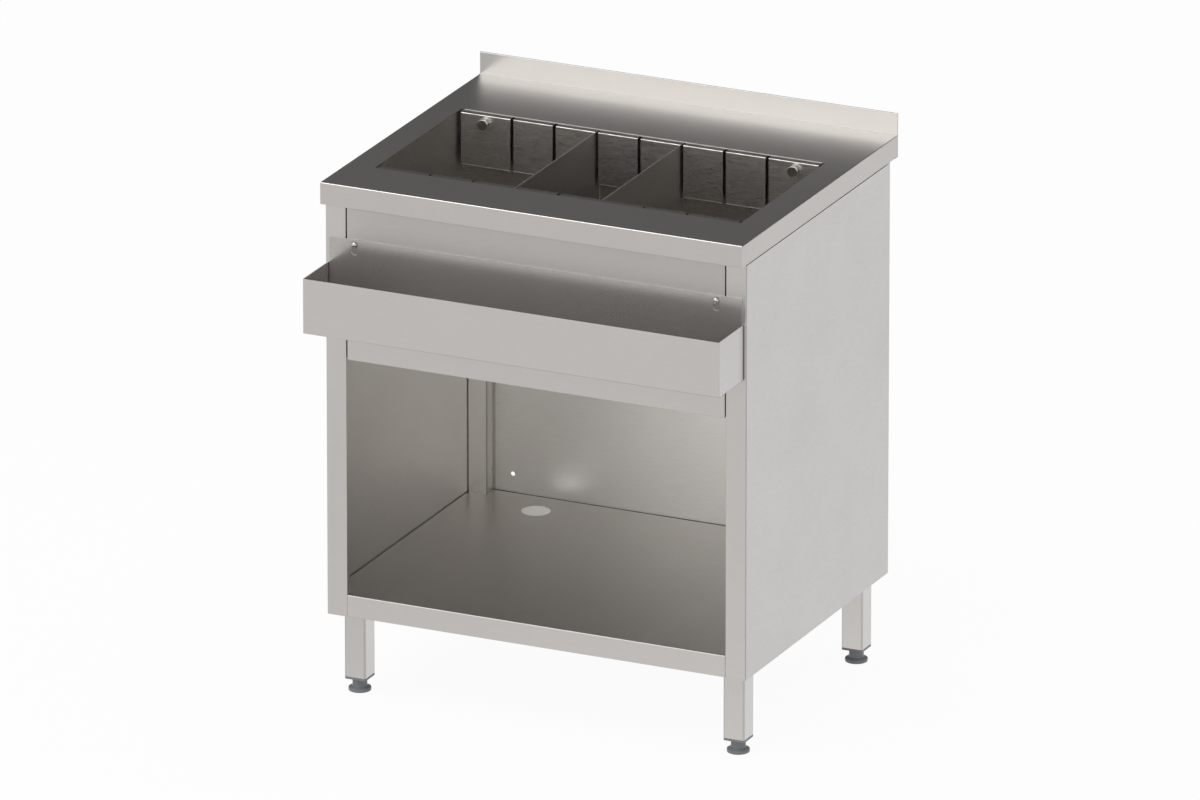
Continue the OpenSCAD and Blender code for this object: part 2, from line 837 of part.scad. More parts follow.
module drain_nut() {
    color("silver") translate([0, bin_mid, jacket_z - drain_nut_h])
        hex_nut(drain_d, drain_d + drain_nut_rim, drain_nut_h);
}

// A comb rack on the bin's rear wall: plate, top flange, slots and stud holes.
module rack() {
    face = bin_y1 - rack_reach;
    color("gray") difference() {
        along_x(-rack_x, rack_x) {
            strip([face + rack_r, rack_top - rack_h], [face + rack_lip, rack_top - rack_h + rack_t]);
            bend([face + rack_r, rack_top - rack_h + rack_r], 180, rack_r, rack_t);
            strip([face, rack_top - rack_h + rack_r], [face + rack_t, rack_top - rack_r]);
            bend([face + rack_r, rack_top - rack_r], 90, rack_r, rack_t);
            strip([face + rack_r, rack_top - rack_t], [bin_y1, rack_top]);
        }
        for (k = [0 : slot_count - 1]) {
            x = (k - (slot_count - 1) / 2) * slot_pitch;
            block([x - slot_w / 2, face - through, rack_top - rack_h - through],
                [x + slot_w / 2, bin_y1 - rack_strip, rack_top + through]);
        }
        both_sides() translate([button_x, face + rack_t + through, button_z]) rotate([90, 0, 0])
            cylinder(h = rack_t + 2 * through, d = rack_stud_d + clear);
    }
}

// Turns a rear piece of the bin about the bin's middle, to the front wall.
module to_front() {
    translate([0, 2 * bin_mid, 0]) mirror([0, 1, 0]) children();
}

module rack_rear() {
    rack();
}

module rack_front() {
    to_front() rack();
}

// The studs welded to the bin's rear wall, each ending inside its button.
module rear_studs() {
    both_sides() translate([button_x, bin_y1, button_z]) rotate([90, 0, 0])
        cylinder(h = rack_reach + button_l - button_cap - clear, d = rack_stud_d);
}

module rack_studs() {
    color("silver") {
        rear_studs();
        to_front() rear_studs();
    }
}

// The round buttons that hold the rear rack on its studs.
module rear_buttons() {
    rim_r = button_d / 2;
    bore_r = rack_stud_d / 2 + thread_clear;
    edge = 1;
    both_sides() translate([button_x, bin_y1 - rack_reach, button_z]) rotate([90, 0, 0]) rotate_extrude()
        polygon([
            [bore_r, 0], [rim_r, 0], [rim_r, button_l - edge], [rim_r - edge, button_l], [0, button_l],
            [0, button_l - button_cap], [bore_r, button_l - button_cap]
        ]);
}

module rack_buttons() {
    color("silver") {
        rear_buttons();
        to_front() rear_buttons();
    }
}

// A divider that stands in the slots of both racks; side is -1 for left and 1 for right.
module divider(side) {
    x = side * divider_slot * slot_pitch + divider_play;
    color("dimgray") block([x - divider_t / 2, bin_mid - divider_y, bin_z + clear],
        [x + divider_t / 2, bin_mid + divider_y, bin_z + clear + divider_h]);
}

module divider_left() {
    divider(-1);
}

module divider_right() {
    divider(1);
}

// The keyhole in the rail's back plate: a slot above a round entry.
module keyhole() {
    depth = 4 * rail_t;
    translate([0, 0, -depth / 2]) {
        cylinder(h = depth, d = key_slot_w);
        translate([0, -rail_lift, 0]) cylinder(h = depth, d = key_entry_d);
        translate([-key_slot_w / 2, -rail_lift, 0]) cube([key_slot_w, rail_lift, depth]);
    }
}

// One end wall of the bottle rail, seen from above, folded from the back plate.
module rail_end() {
    turn = [rail_plate_x, rail_back_y - rail_corner_r];
    strip([rail_x - rail_t, rail_y0 + rail_t / 2], [rail_x, turn.y]);
    bend(turn, 0, rail_corner_r, rail_t);
}

// The bottle rail: trough, end walls and back plate with two keyholes.
module speed_rail() {
    r = panel_r;
    color("lightgray") difference() {
        union() {
            along_x(-rail_x, rail_x) {
                strip([rail_y0, rail_z0 + r], [rail_y0 + rail_t, rail_rim_z]);
                bend([rail_y0 + r, rail_z0 + r], 180, r, rail_t);
                strip([rail_y0 + r, rail_z0], [rail_back_y - r, rail_z0 + rail_t]);
            }
            along_x(-rail_plate_x, rail_plate_x) {
                bend([rail_back_y - r, rail_z0 + r], -90, r, rail_t);
                strip([rail_back_y - rail_t, rail_z0 + r], [rail_back_y, rail_top_z]);
            }
            along_z(rail_z0 + rail_t / 2, rail_rim_z) both_sides() rail_end();
        }
        translate([0, rail_back_y, 0]) at_rail_bolts() keyhole();
    }
}

// The domed shoulder bolts that the rail hangs on: head, shoulder and thread.
module rail_bolts() {
    head_h = 5;
    dome_r = (pow(bolt_head_d / 2, 2) + pow(head_h, 2)) / (2 * head_h);
    shoulder_l = rail_standoff + rail_t + clear;
    color("silver") at_rail_bolts() translate([0, 0, -cab_y0]) {
        translate([0, 0, shoulder_l]) intersection() {
            cylinder(h = head_h, d = bolt_head_d);
            translate([0, 0, head_h - dome_r]) sphere(dome_r);
        }
        cylinder(h = shoulder_l, d = bolt_d);
        translate([0, 0, -rail_thread_l]) cylinder(h = rail_thread_l, d = rail_thread_d);
    }
}

module rail_nuts() {
    color("lightgray") at_rail_bolts() translate([0, 0, -cab_y0 - panel_t - nut_h])
        hex_nut(rail_thread_d, hex_share * rail_thread_d, nut_h);
}

worktop();
worktop_board_front();
worktop_board_rear();
worktop_bearer_left();
worktop_bearer_right();
worktop_bolts();
worktop_nuts();
side_panel_left();
side_panel_right();
rear_post_left();
rear_post_right();
front_panel();
rear_panel();
bottom_shelf();
shelf_stiffener_front();
shelf_stiffener_rear();
leg_front_left();
leg_front_right();
leg_rear_left();
leg_rear_right();
leg_bolts();
leg_nuts();
leg_plug_front_left();
leg_plug_front_right();
leg_plug_rear_left();
leg_plug_rear_right();
foot_front_left();
foot_front_right();
foot_rear_left();
foot_rear_right();
foot_stud_front_left();
foot_stud_front_right();
foot_stud_rear_left();
foot_stud_rear_right();
ice_bin();
bin_foam();
bin_jacket();
drain_body();
drain_gasket();
drain_strainer();
drain_nut();
rack_front();
rack_rear();
rack_studs();
rack_buttons();
divider_left();
divider_right();
speed_rail();
rail_bolts();
rail_nuts();
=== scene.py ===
"""Dresses the bar station with ice bin: folded stainless sheet, racks, rail, feet, studio and camera.

All lengths are metres in the frame of the construction: Z up, the front towards -Y.
"""

import json
import logging
import math
from dataclasses import dataclass, field
from enum import Enum
from functools import cache
from typing import Callable, Iterable, Sequence

import bmesh
import bpy
from bmesh.types import BMEdge, BMesh, BMFace, BMVert
from bpy.types import ID, Material, Mesh, Node, NodeSocket, NodeTree, Object
from mathutils import Matrix, Vector


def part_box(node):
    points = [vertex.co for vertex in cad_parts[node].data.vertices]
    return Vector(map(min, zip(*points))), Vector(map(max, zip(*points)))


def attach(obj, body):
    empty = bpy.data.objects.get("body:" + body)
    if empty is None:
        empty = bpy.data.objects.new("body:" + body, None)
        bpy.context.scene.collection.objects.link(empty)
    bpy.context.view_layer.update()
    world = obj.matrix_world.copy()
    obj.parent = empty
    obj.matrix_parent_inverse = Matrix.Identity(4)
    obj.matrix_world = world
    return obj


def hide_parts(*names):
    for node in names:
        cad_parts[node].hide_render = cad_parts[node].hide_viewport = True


LOG = logging.getLogger("bar_station")

Point = tuple[float, float]
Place = tuple[float, float, float]
Colour = tuple[float, float, float]
Inputs = dict[str | int, object]

SIDES = {"left": -1, "right": 1}
CORNERS = ("front_left", "front_right", "rear_left", "rear_right")
UP = Vector((0, 0, 1))
WHITE = (1.0, 1.0, 1.0, 1.0)

SAME = 1e-6  # lengths closer than this are one
ALONG = 0.99  # least cosine between a direction and the axis that it runs along
FACING = 0.9  # the same for the way that a face looks
OWN_SLOT = -1  # a bend keeps the material slot of the sheet beside it
FIRST_EXTRA, SECOND_EXTRA = 3, 6  # the slots of a piece's extra finishes
BEND_STEPS = 6  # segments of a fold
SHARP_FOLD = 1.0  # least turn of a fold that is still to be rounded, in radians
BROKEN_FROM = math.radians(50)  # least turn at which an edge is broken
MOST = (0.3, 0.7)  # the range that most of a noise lies in

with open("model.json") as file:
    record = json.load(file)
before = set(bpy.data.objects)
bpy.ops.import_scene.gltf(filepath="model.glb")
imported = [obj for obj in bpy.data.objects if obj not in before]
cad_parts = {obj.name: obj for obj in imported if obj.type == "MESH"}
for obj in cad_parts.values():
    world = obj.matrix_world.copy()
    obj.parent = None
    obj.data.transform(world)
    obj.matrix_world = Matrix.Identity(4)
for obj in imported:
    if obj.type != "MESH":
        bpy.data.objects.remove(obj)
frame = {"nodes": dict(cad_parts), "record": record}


class Axis(Enum):
    """An axis of the frame."""

    X = 0
    Y = 1
    Z = 2

    @property
    def unit(self) -> Vector:
        """The axis as a unit vector."""
        return Vector([1.0 if i == self.value else 0.0 for i in range(3)])


class Edge(Enum):
    """How the cut edge of a sheet or block is broken."""

    SHEET = 0.0002
    CAST = 0.0006


# Finishes


@dataclass
class NodeDesk:
    """A node tree with short calls that add and link its nodes.

    Attributes:
        tree: the node tree.
    """

    tree: NodeTree

    def add(self, kind: str, inputs: Inputs | None = None, **settings: object) -> Node:
        """Adds a node.

        Args:
            kind: the node's type.
            inputs: what each input holds: a value, or a socket to link.
            settings: attributes of the node.

        Returns:
            The new node.
        """
        node = self.tree.nodes.new(kind)
        for name, value in settings.items():
            setattr(node, name, value)
        for name, value in (inputs or {}).items():
            if isinstance(value, NodeSocket):
                self.tree.links.new(value, node.inputs[name])
            else:
                node.inputs[name].default_value = value
        return node

    def math(self, operation: str, a: object, b: object) -> NodeSocket:
        """Adds a Math node and returns its result."""
        return self.add("ShaderNodeMath", {0: a, 1: b}, operation=operation).outputs[0]

    def mix(self, share: NodeSocket, low: object, high: object) -> NodeSocket:
        """Adds a mix of two numbers and returns its result."""
        return self.add("ShaderNodeMix", {0: share, 2: low, 3: high}, data_type="FLOAT").outputs[0]

    def scaled(self, vector: NodeSocket, scale: Sequence[float]) -> NodeSocket:
        """Scales a vector along each axis and returns it."""
        return self.add("ShaderNodeVectorMath", {0: vector, 1: tuple(scale)}, operation="MULTIPLY").outputs[0]

    def noise(self, vector: NodeSocket, detail: float, roughness: float = 0.5) -> NodeSocket:
        """Adds a noise of one cell per unit and returns its value."""
        inputs = {"Vector": vector, "Scale": 1.0, "Detail": detail, "Roughness": roughness}
        return self.add("ShaderNodeTexNoise", inputs).outputs[0]

    def mapped(self, value: NodeSocket, given: Point, wanted: Point = (0.0, 1.0)) -> NodeSocket:
        """Maps a value from one range to another, clamped, and returns it."""
        ends = dict(zip(("From Min", "From Max", "To Min", "To Max"), (*given, *wanted)))
        return self.add("ShaderNodeMapRange", {"Value": value, **ends}, clamp=True).outputs[0]

    def put_out(self, values: dict[str, NodeSocket]) -> None:
        """Links the values to a group's outputs of the same names."""
        self.add("NodeGroupOutput", values)


def new_group(name: str, places: Sequence[str], colours: Sequence[str], numbers: Sequence[str]) -> NodeDesk:
    """Starts a node group that puts out Color, Roughness and Height.

    Args:
        name: the group's name.
        places: names of the inputs that hold a place.
        colours: names of the inputs that hold a colour.
        numbers: names of the inputs that hold a number.

    Returns:
        A desk on the new group.
    """
    group = bpy.data.node_groups.new(name, "ShaderNodeTree")
    vector, colour, number = "NodeSocketVector", "NodeSocketColor", "NodeSocketFloat"
    for kind, names in ((vector, places), (colour, colours), (number, numbers)):
        for socket in names:
            group.interface.new_socket(name=socket, in_out="INPUT", socket_type=kind)
    for socket, kind in (("Color", colour), ("Roughness", number), ("Height", number)):
        group.interface.new_socket(name=socket, in_out="OUTPUT", socket_type=kind)
    return NodeDesk(group)


@cache
def brushed_group() -> NodeTree:
    """The brushed grain of stainless sheet: hairlines, short flecks and faint smudges.

    Returns:
        A group that takes stretched places, a base colour and strengths.
    """
    desk = new_group("brushed_grain", ("Hairline Place", "Fleck Place", "Smudge Place"), ("Base Color",),
                     ("Roughness", "Fleck", "Smudge"))
    given = desk.add("NodeGroupInput").outputs
    hairline = desk.noise(given["Hairline Place"], detail=3.0, roughness=0.6)
    fleck = desk.noise(given["Fleck Place"], detail=2.0, roughness=0.55)
    smudge = desk.noise(given["Smudge Place"], detail=3.0)
    whole, half, smoother = (-1.0, 1.0), (-0.5, 0.5), -0.35
    fleck_part = desk.math("MULTIPLY", desk.mapped(fleck, (0.35, 0.65), whole), given["Fleck"])
    line_part = desk.math("MULTIPLY", desk.mapped(hairline, MOST, half), given["Fleck"])
    smudge_part = desk.math("MULTIPLY", desk.mapped(smudge, MOST, whole), given["Smudge"])
    change = desk.math("ADD", desk.math("ADD", fleck_part, line_part), smudge_part)
    light = desk.math("ADD", change, 1.0)
    tinted = desk.add("ShaderNodeVectorMath", {0: given["Base Color"], 3: light}, operation="SCALE")
    rough = desk.math("ADD", given["Roughness"], desk.math("MULTIPLY", change, smoother))
    desk.put_out({"Color": tinted.outputs[0], "Roughness": rough, "Height": hairline})
    return desk.tree


@cache
def mottle_group() -> NodeTree:
    """Slow mottling with fine grit, for plastic, rubber, board, foam and zinc.

    Returns:
        A group that takes two places, two colours and a roughness.
    """
    desk = new_group("mottle", ("Mottle Place", "Grit Place"), ("Dark", "Light"), ("Roughness",))
    given = desk.add("NodeGroupInput").outputs
    mottle = desk.noise(given["Mottle Place"], detail=4.0)
    grit = desk.noise(given["Grit Place"], detail=2.0)
    share = desk.math("ADD", desk.mapped(mottle, MOST, (0.0, 0.7)), desk.mapped(grit, MOST, (0.0, 0.3)))
    blend = desk.add("ShaderNodeMix", {0: share, 6: given["Dark"], 7: given["Light"]}, data_type="RGBA")
    rough = desk.math("ADD", given["Roughness"], desk.mapped(grit, MOST, (-0.06, 0.06)))
    desk.put_out({"Color": blend.outputs[2], "Roughness": rough, "Height": grit})
    return desk.tree


def surface_material(name: str, group: NodeTree, places: dict[str, Sequence[float]],
                     values: dict[str, object], relief: Point, metallic: float) -> Material:
    """Makes a material whose colour, roughness and relief come from a node group.

    Args:
        name: the material's name.
        group: the node group.
        places: cells per metre along each axis, for each place that the group takes.
        values: what the group's other inputs hold.
        relief: strength and depth of the bump.
        metallic: share that mirrors as bare metal.

    Returns:
        The new material.
    """
    material = bpy.data.materials.new(name)
    material.use_nodes = True
    desk = NodeDesk(material.node_tree)
    place = desk.add("ShaderNodeTexCoord").outputs["Object"]
    stretched = {socket: desk.scaled(place, cells) for socket, cells in places.items()}
    look = desk.add("ShaderNodeGroup", {**stretched, **values}, node_tree=group).outputs
    strength, depth = relief
    bump = desk.add("ShaderNodeBump", {"Height": look["Height"], "Strength": strength, "Distance": depth})
    shader = desk.tree.nodes["Principled BSDF"]
    shader.inputs["Metallic"].default_value = metallic
    links = {"Base Color": look["Color"], "Roughness": look["Roughness"], "Normal": bump.outputs[0]}
    for socket, value in links.items():
        desk.tree.links.new(value, shader.inputs[socket])
    return material


@dataclass(frozen=True)
class BrushedSteel:
    """Stainless sheet brushed along one axis.

    Attributes:
        name: the material's name.
        colour: linear colour of the metal.
        grain: axis the brushing runs along.
        roughness: how matt the surface is.
        fleck: strength of the short flecks.
        smudge: strength of the slow smudges.
        bump: strength of the hairlines' relief.
        metallic: share that mirrors as bare metal; the rest scatters light.
        hairline_m: length and width of the hairlines.
        fleck_m: length and width of the flecks.
        smudge_m: size of the smudges.
        depth: depth of the hairlines' relief.
    """

    name: str
    colour: Colour
    grain: Axis = Axis.X
    roughness: float = 0.36
    fleck: float = 0.01
    smudge: float = 0.01
    bump: float = 0.02
    metallic: float = 1.0
    hairline_m: Point = (0.030, 0.0005)
    fleck_m: Point = (0.018, 0.0022)
    smudge_m: float = 0.12
    depth: float = 0.0002

    def _stretch(self, size: Point) -> list[float]:
        """Cells per metre along each axis for marks of the given length and width."""
        return [1 / size[0] if i == self.grain.value else 1 / size[1] for i in range(3)]

    def build(self) -> Material:
        """Makes the material.

        Returns:
            The new material.
        """
        places = {"Hairline Place": self._stretch(self.hairline_m),
                  "Fleck Place": self._stretch(self.fleck_m), "Smudge Place": [1 / self.smudge_m] * 3}
        values = {"Base Color": (*self.colour, 1.0), "Roughness": self.roughness, "Fleck": self.fleck,
                  "Smudge": self.smudge}
        relief = (self.bump, self.depth)
        return surface_material(self.name, brushed_group(), places, values, relief, self.metallic)


@dataclass(frozen=True)
class Mottled:
    """Plastic, rubber, board, foam or zinc: two close colours that mottle, with fine grit.

    Attributes:
        name: the material's name.
        dark: the darker colour.
        light: the lighter colour.
        roughness: how matt the surface is.
        metallic: 1 for bare metal, else 0.
        mottle_m: size of the mottling.
        grit_m: size of the grit.
        bump: strength of the grit's relief.
        depth: depth of the grit's relief.
    """

    name: str
    dark: Colour
    light: Colour
    roughness: float = 0.5
    metallic: float = 0.0
    mottle_m: float = 0.02
    grit_m: float = 0.0006
    bump: float = 0.2
    depth: float = 0.0001

    def build(self) -> Material:
        """Makes the material.

        Returns:
            The new material.
        """
        places = {"Mottle Place": [1 / self.mottle_m] * 3, "Grit Place": [1 / self.grit_m] * 3}
        values = {"Dark": (*self.dark, 1.0), "Light": (*self.light, 1.0), "Roughness": self.roughness}
        relief = (self.bump, self.depth)
        return surface_material(self.name, mottle_group(), places, values, relief, self.metallic)


FINISHES = {
    finish.name: finish
    for finish in (
        # painted shade: a darkened, glossier copy of the worktop's steel for the upstand
        BrushedSteel("steel_upstand_painted_shade", (0.582, 0.562, 0.544), roughness=0.22, fleck=0.006, bump=0.01),
        # painted light: a brightened copy of the steel for the worktop's top
        BrushedSteel("steel_worktop_painted_light", (0.915, 0.891, 0.866), roughness=0.385, fleck=0.006, bump=0.01),
        # painted shade: a darkened copy of the steel for the worktop's apron faces
        BrushedSteel("steel_apron_painted_shade", (0.66, 0.63, 0.606), fleck=0.012, smudge=0.008),
        BrushedSteel("steel_front", (0.70, 0.668, 0.643), fleck=0.012, smudge=0.008),
        # painted shade: a darkened copy of the front steel for the front panel above the rail
        BrushedSteel("steel_panel_painted_shade", (0.62, 0.592, 0.57), roughness=0.45, fleck=0.012, smudge=0.008),
        BrushedSteel("steel_side", (0.70, 0.685, 0.675), Axis.Y, fleck=0.02, smudge=0.015),
        # painted shade: a darkened copy of the steel for the panels' inner faces
        BrushedSteel("steel_lining_painted_shade", (0.665, 0.645, 0.626), Axis.Z, fleck=0.02),
        # painted shade: a darkened copy of the steel for the shelf's deck and skirts
        BrushedSteel("steel_inside_painted_shade", (0.605, 0.577, 0.554), fleck=0.02),
        # painted light: a brightened copy of the steel for the rear panel's inner face
        BrushedSteel("steel_rear_painted_light", (0.985, 0.963, 0.923), roughness=0.40, fleck=0.02),
        # painted light and shade: a brightened copy of the steel for the posts' fronts and a darkened one for
        # their sides
        BrushedSteel("steel_post_painted_light", (0.93, 0.90, 0.86), Axis.Z),
        BrushedSteel("steel_painted_shade_post_side", (0.56, 0.54, 0.515), Axis.Z),
        BrushedSteel("steel_upright", (0.683, 0.652, 0.628), Axis.Z, smudge=0.008),
        # painted light: a brightened copy of the legs' steel for their faces that look along X
        BrushedSteel("steel_leg_side_painted_light", (0.76, 0.75, 0.736), Axis.Z, roughness=0.34, smudge=0.008),
        # painted shade: a darkened copy of the steel for the rail's back plate and the panel that its
        # keyholes show
        BrushedSteel("steel_plate_painted_shade", (0.56, 0.536, 0.516), roughness=0.22, fleck=0.04, smudge=0.008,
                     metallic=0.76),
        # painted shade: a darkened copy of the steel for the inside of the rail's trough and end walls
        BrushedSteel("steel_trough_painted_shade", (0.63, 0.604, 0.58), roughness=0.24, fleck=0.04, metallic=0.76),
        BrushedSteel("steel_bin", (0.71, 0.685, 0.655), roughness=0.34, fleck=0.10, smudge=0.03, bump=0.04),
        BrushedSteel("steel_rack", (0.70, 0.672, 0.64), fleck=0.20, smudge=0.03, bump=0.04,
                     fleck_m=(0.016, 0.0026)),
        # painted highlight: a brightened steel for the racks' lower folds
        BrushedSteel("steel_rim_painted_highlight", (0.97, 0.93, 0.89), roughness=0.6, fleck=0.03, smudge=0.03),
        # painted shade: a near-black steel for the rear sheet's strip below the deck, the rail ends' folds,
        # the racks' backs and slot walls
        BrushedSteel("steel_painted_shade", (0.20, 0.193, 0.186), roughness=0.45, fleck=0.05, smudge=0.03),
        BrushedSteel("steel_divider", (0.70, 0.68, 0.655), Axis.Y, roughness=0.32, fleck=0.02, smudge=0.03),
        # painted shade: a darkened steel for the folds of the side panels and posts and the outer ring of the
        # bolts' heads
        BrushedSteel("steel_bend_painted_shade", (0.40, 0.385, 0.37), Axis.Z, roughness=0.30),
        # painted shade: a darkened steel for the worktop's cut edges, the upstand's fillet and the legs'
        # corners
        BrushedSteel("steel_fold_painted_shade", (0.55, 0.53, 0.51), Axis.Z, roughness=0.30),
        # painted highlight: a brightened steel for the rail ends' cut edges and the dividers' tops
        BrushedSteel("steel_cut_painted_highlight", (0.86, 0.84, 0.81), Axis.Z, roughness=0.55),
        BrushedSteel("steel_turned", (0.70, 0.68, 0.66), Axis.Z, roughness=0.20, smudge=0.03, bump=0.01),
        BrushedSteel("steel_domed", (0.58, 0.565, 0.55), Axis.Z, roughness=0.10, smudge=0.03, bump=0.01),
        Mottled("zinc_dull", (0.16, 0.165, 0.17), (0.22, 0.225, 0.23), metallic=1.0, mottle_m=0.012),
        Mottled("zinc", (0.42, 0.43, 0.44), (0.56, 0.57, 0.58), roughness=0.42, metallic=1.0, mottle_m=0.012),
        Mottled("plastic_grey", (0.185, 0.20, 0.212), (0.225, 0.24, 0.252), roughness=0.35, bump=0.1),
        Mottled("plastic_plug", (0.20, 0.205, 0.21), (0.24, 0.245, 0.25), roughness=0.40, bump=0.1),
        Mottled("rubber_black", (0.014, 0.014, 0.014), (0.022, 0.022, 0.022), roughness=0.65),
        Mottled("chipboard", (0.30, 0.19, 0.10), (0.52, 0.37, 0.21), roughness=0.8, mottle_m=0.004,
                grit_m=0.0015),
        Mottled("foam", (0.62, 0.55, 0.36), (0.72, 0.65, 0.46), roughness=0.85, mottle_m=0.01, grit_m=0.0012),
    )
}


@cache
def material_of(finish: str) -> Material:
    """Makes the material of a finish at its first use and returns it."""
    return FINISHES[finish].build()


# Shapes


def spread(values: Sequence[float], axis: Axis) -> Vector:
    """Puts two values across an axis and one along it: (across, across, along)."""
    low, high, along = values
    return {Axis.X: Vector((along, low, high)), Axis.Y: Vector((low, along, high)),
            Axis.Z: Vector((low, high, along))}[axis]


def placed(centre: Vector, way: Vector) -> Matrix:
    """The matrix that takes the origin to a centre and turns Z to a direction."""
    return Matrix.Translation(centre) @ UP.rotation_difference(way).to_matrix().to_4x4()


def runs_along(edge: BMEdge, axis: Axis) -> bool:
    """Whether an edge runs along an axis."""
    return abs((edge.verts[0].co - edge.verts[1].co).normalized() @ axis.unit) > ALONG


def lies_at(edge: BMEdge, level: float) -> bool:
    """Whether an edge lies level at a height."""
    return all(abs(vert.co.z - level) < SAME for vert in edge.verts)


def sharp_folds(bm: BMesh) -> list[BMEdge]:
    """The edges at which two faces turn sharply."""
    return [edge for edge in bm.edges if len(edge.link_faces) == 2 and edge.calc_face_angle(0.0) > SHARP_FOLD]


def edges_along(verts: Iterable[BMVert], axis: Axis) -> list[BMEdge]:
    """The edges between some vertices that run along an axis."""
    inside = set(verts)
    return [edge for edge in {e for v in inside for e in v.link_edges}
            if {*edge.verts} <= inside and runs_along(edge, axis)]


def pull_edges(bm: BMesh, edges: Sequence[BMEdge]) -> list[BMVert]:
    """Pulls new faces from edges, of no width yet, and returns the vertices that set it."""
    pulled = bmesh.ops.extrude_edge_only(bm, edges=edges)["geom"]
    return [item for item in pulled if isinstance(item, BMVert)]


def round_edges(bm: BMesh, edges: Iterable[BMEdge], radius: float, steps: int, slot: int = OWN_SLOT,
                clamp: bool = True) -> None:
    """Rounds edges in steps, into a material slot; clamp stops them short of their neighbours."""
    bmesh.ops.bevel(bm, geom=list(edges), offset=radius, offset_type="OFFSET", affect="EDGES",
                    segments=steps, profile=0.5, material=slot, clamp_overlap=clamp)


def cut_at(bm: BMesh, axis: Axis, level: float, faces: Sequence[BMFace] = ()) -> None:
    """Cuts some faces, or else the whole mesh, by the plane square to an axis at a level."""
    chosen = [*faces, *{e for f in faces for e in f.edges}, *{v for f in faces for v in f.verts}]
    bmesh.ops.bisect_plane(bm, geom=chosen or [*bm.verts, *bm.edges, *bm.faces],
                           plane_co=axis.unit * level, plane_no=axis.unit)


def rectangle(low: Point, high: Point) -> tuple[Point, ...]:
    """The four corners of a rectangle, in order."""
    return low, (high[0], low[1]), high, (low[0], high[1])


def loop_of(bm: BMesh, points: Sequence[Point], axis: Axis, level: float) -> list[BMEdge]:
    """Adds a closed loop of edges through points of the plane square to an axis at a level."""
    verts = [bm.verts.new(spread((*point, level), axis)) for point in points]
    return [bm.edges.new(pair) for pair in zip(verts, verts[1:] + verts[:1])]


def circle_of(bm: BMesh, centre: Vector, radius: float, axis: Axis, steps: int) -> list[BMEdge]:
    """Adds a circle of edges about a centre, square to an axis."""
    made = bmesh.ops.create_circle(bm, cap_ends=False, radius=radius, segments=steps,
                                   matrix=placed(centre, axis.unit))["verts"]
    return list({edge for vert in made for edge in vert.link_edges})


def arc(centre: Point, radius: float, start: float, end: float, steps: int) -> list[Point]:
    """Lists the points of an arc about a centre, from one angle to another."""
    turns = [start + (end - start) * step / steps for step in range(steps + 1)]
    return [(centre[0] + radius * math.cos(a), centre[1] + radius * math.sin(a)) for a in turns]


def fill_outline(bm: BMesh, loops: Sequence[Sequence[BMEdge]], way: Vector) -> None:
    """Fills a flat outline, with its holes, by triangles that look one way.

    Args:
        bm: the mesh.
        loops: the closed loops of edges, the outer one and each hole's.
        way: where the triangles look.
    """
    edges = [edge for loop in loops for edge in loop]
    filled = bmesh.ops.triangle_fill(bm, edges=edges, use_beauty=True)["geom"]
    faces = [item for item in filled if isinstance(item, BMFace)]
    bm.normal_update()
    bmesh.ops.reverse_faces(bm, faces=[face for face in faces if face.normal @ way < 0])


def add_block(bm: BMesh, corner: Sequence[float], opposite: Sequence[float]) -> list[BMVert]:
    """Adds a block between two opposite corners.

    Args:
        bm: the mesh that it goes into.
        corner: one corner.
        opposite: the other.

    Returns:
        Its vertices.
    """
    corner, opposite = Vector(corner), Vector(opposite)
    size = [abs(length) for length in opposite - corner]
    matrix = Matrix.Translation((corner + opposite) / 2) @ Matrix.Diagonal((*size, 1.0))
    return bmesh.ops.create_cube(bm, size=1.0, matrix=matrix)["verts"]


def add_square(bm: BMesh, middle: Vector, half: float, span: Point) -> list[BMVert]:
    """Adds an upright square block about a middle, from one height to another, and returns its vertices."""
    x, y = middle.xy
    return add_block(bm, (x - half, y - half, span[0]), (x + half, y + half, span[1]))


def add_tray(bm: BMesh, places: Sequence[Vector], folds: dict[int, Vector], radius: float) -> None:
    """Adds a flat sheet with some of its edges folded over.

    Args:
        bm: the mesh that it goes into.
        places: the flat outline's corners, in order.
        folds: for an outline edge, by the number of its first corner, the way its flange points.
        radius: outer radius of the folds.
    """
    points = [bm.verts.new(place) for place in places]
    bm.faces.new(points)
    edges = {number: bm.edges.get((points[number], points[(number + 1) % len(points)])) for number in folds}
    for number, way in folds.items():
        bmesh.ops.translate(bm, verts=pull_edges(bm, [edges[number]]), vec=way)
    bm.normal_update()
    round_edges(bm, edges.values(), radius, BEND_STEPS, clamp=False)


def add_turned(bm: BMesh, profile: Sequence[Point], centre: Vector, way: Vector, steps: int) -> None:
    """Adds a turned piece: a profile of (radius, height) points spun about an axis.

    Args:
        bm: the mesh that it goes into.
        profile: the points, from one pole to the other.
        centre: where height is 0.
        way: direction of rising height.
        steps: segments of the turn.
    """
    piece = bmesh.new()
    points = [piece.verts.new((radius, 0.0, height)) for radius, height in profile]
    lines = [piece.edges.new(pair) for pair in zip(points, points[1:])]
    bmesh.ops.spin(piece, geom=points + lines, cent=(0, 0, 0), axis=UP, angle=math.tau,
                   steps=steps, use_merge=True)
    bmesh.ops.remove_doubles(piece, verts=piece.verts, dist=SAME)
    bmesh.ops.recalc_face_normals(piece, faces=piece.faces)
    bmesh.ops.transform(piece, matrix=placed(centre, way), verts=piece.verts)
    held = bpy.data.meshes.new("turned")
    piece.to_mesh(held)
    piece.free()
    bm.from_mesh(held)
    bpy.data.meshes.remove(held)


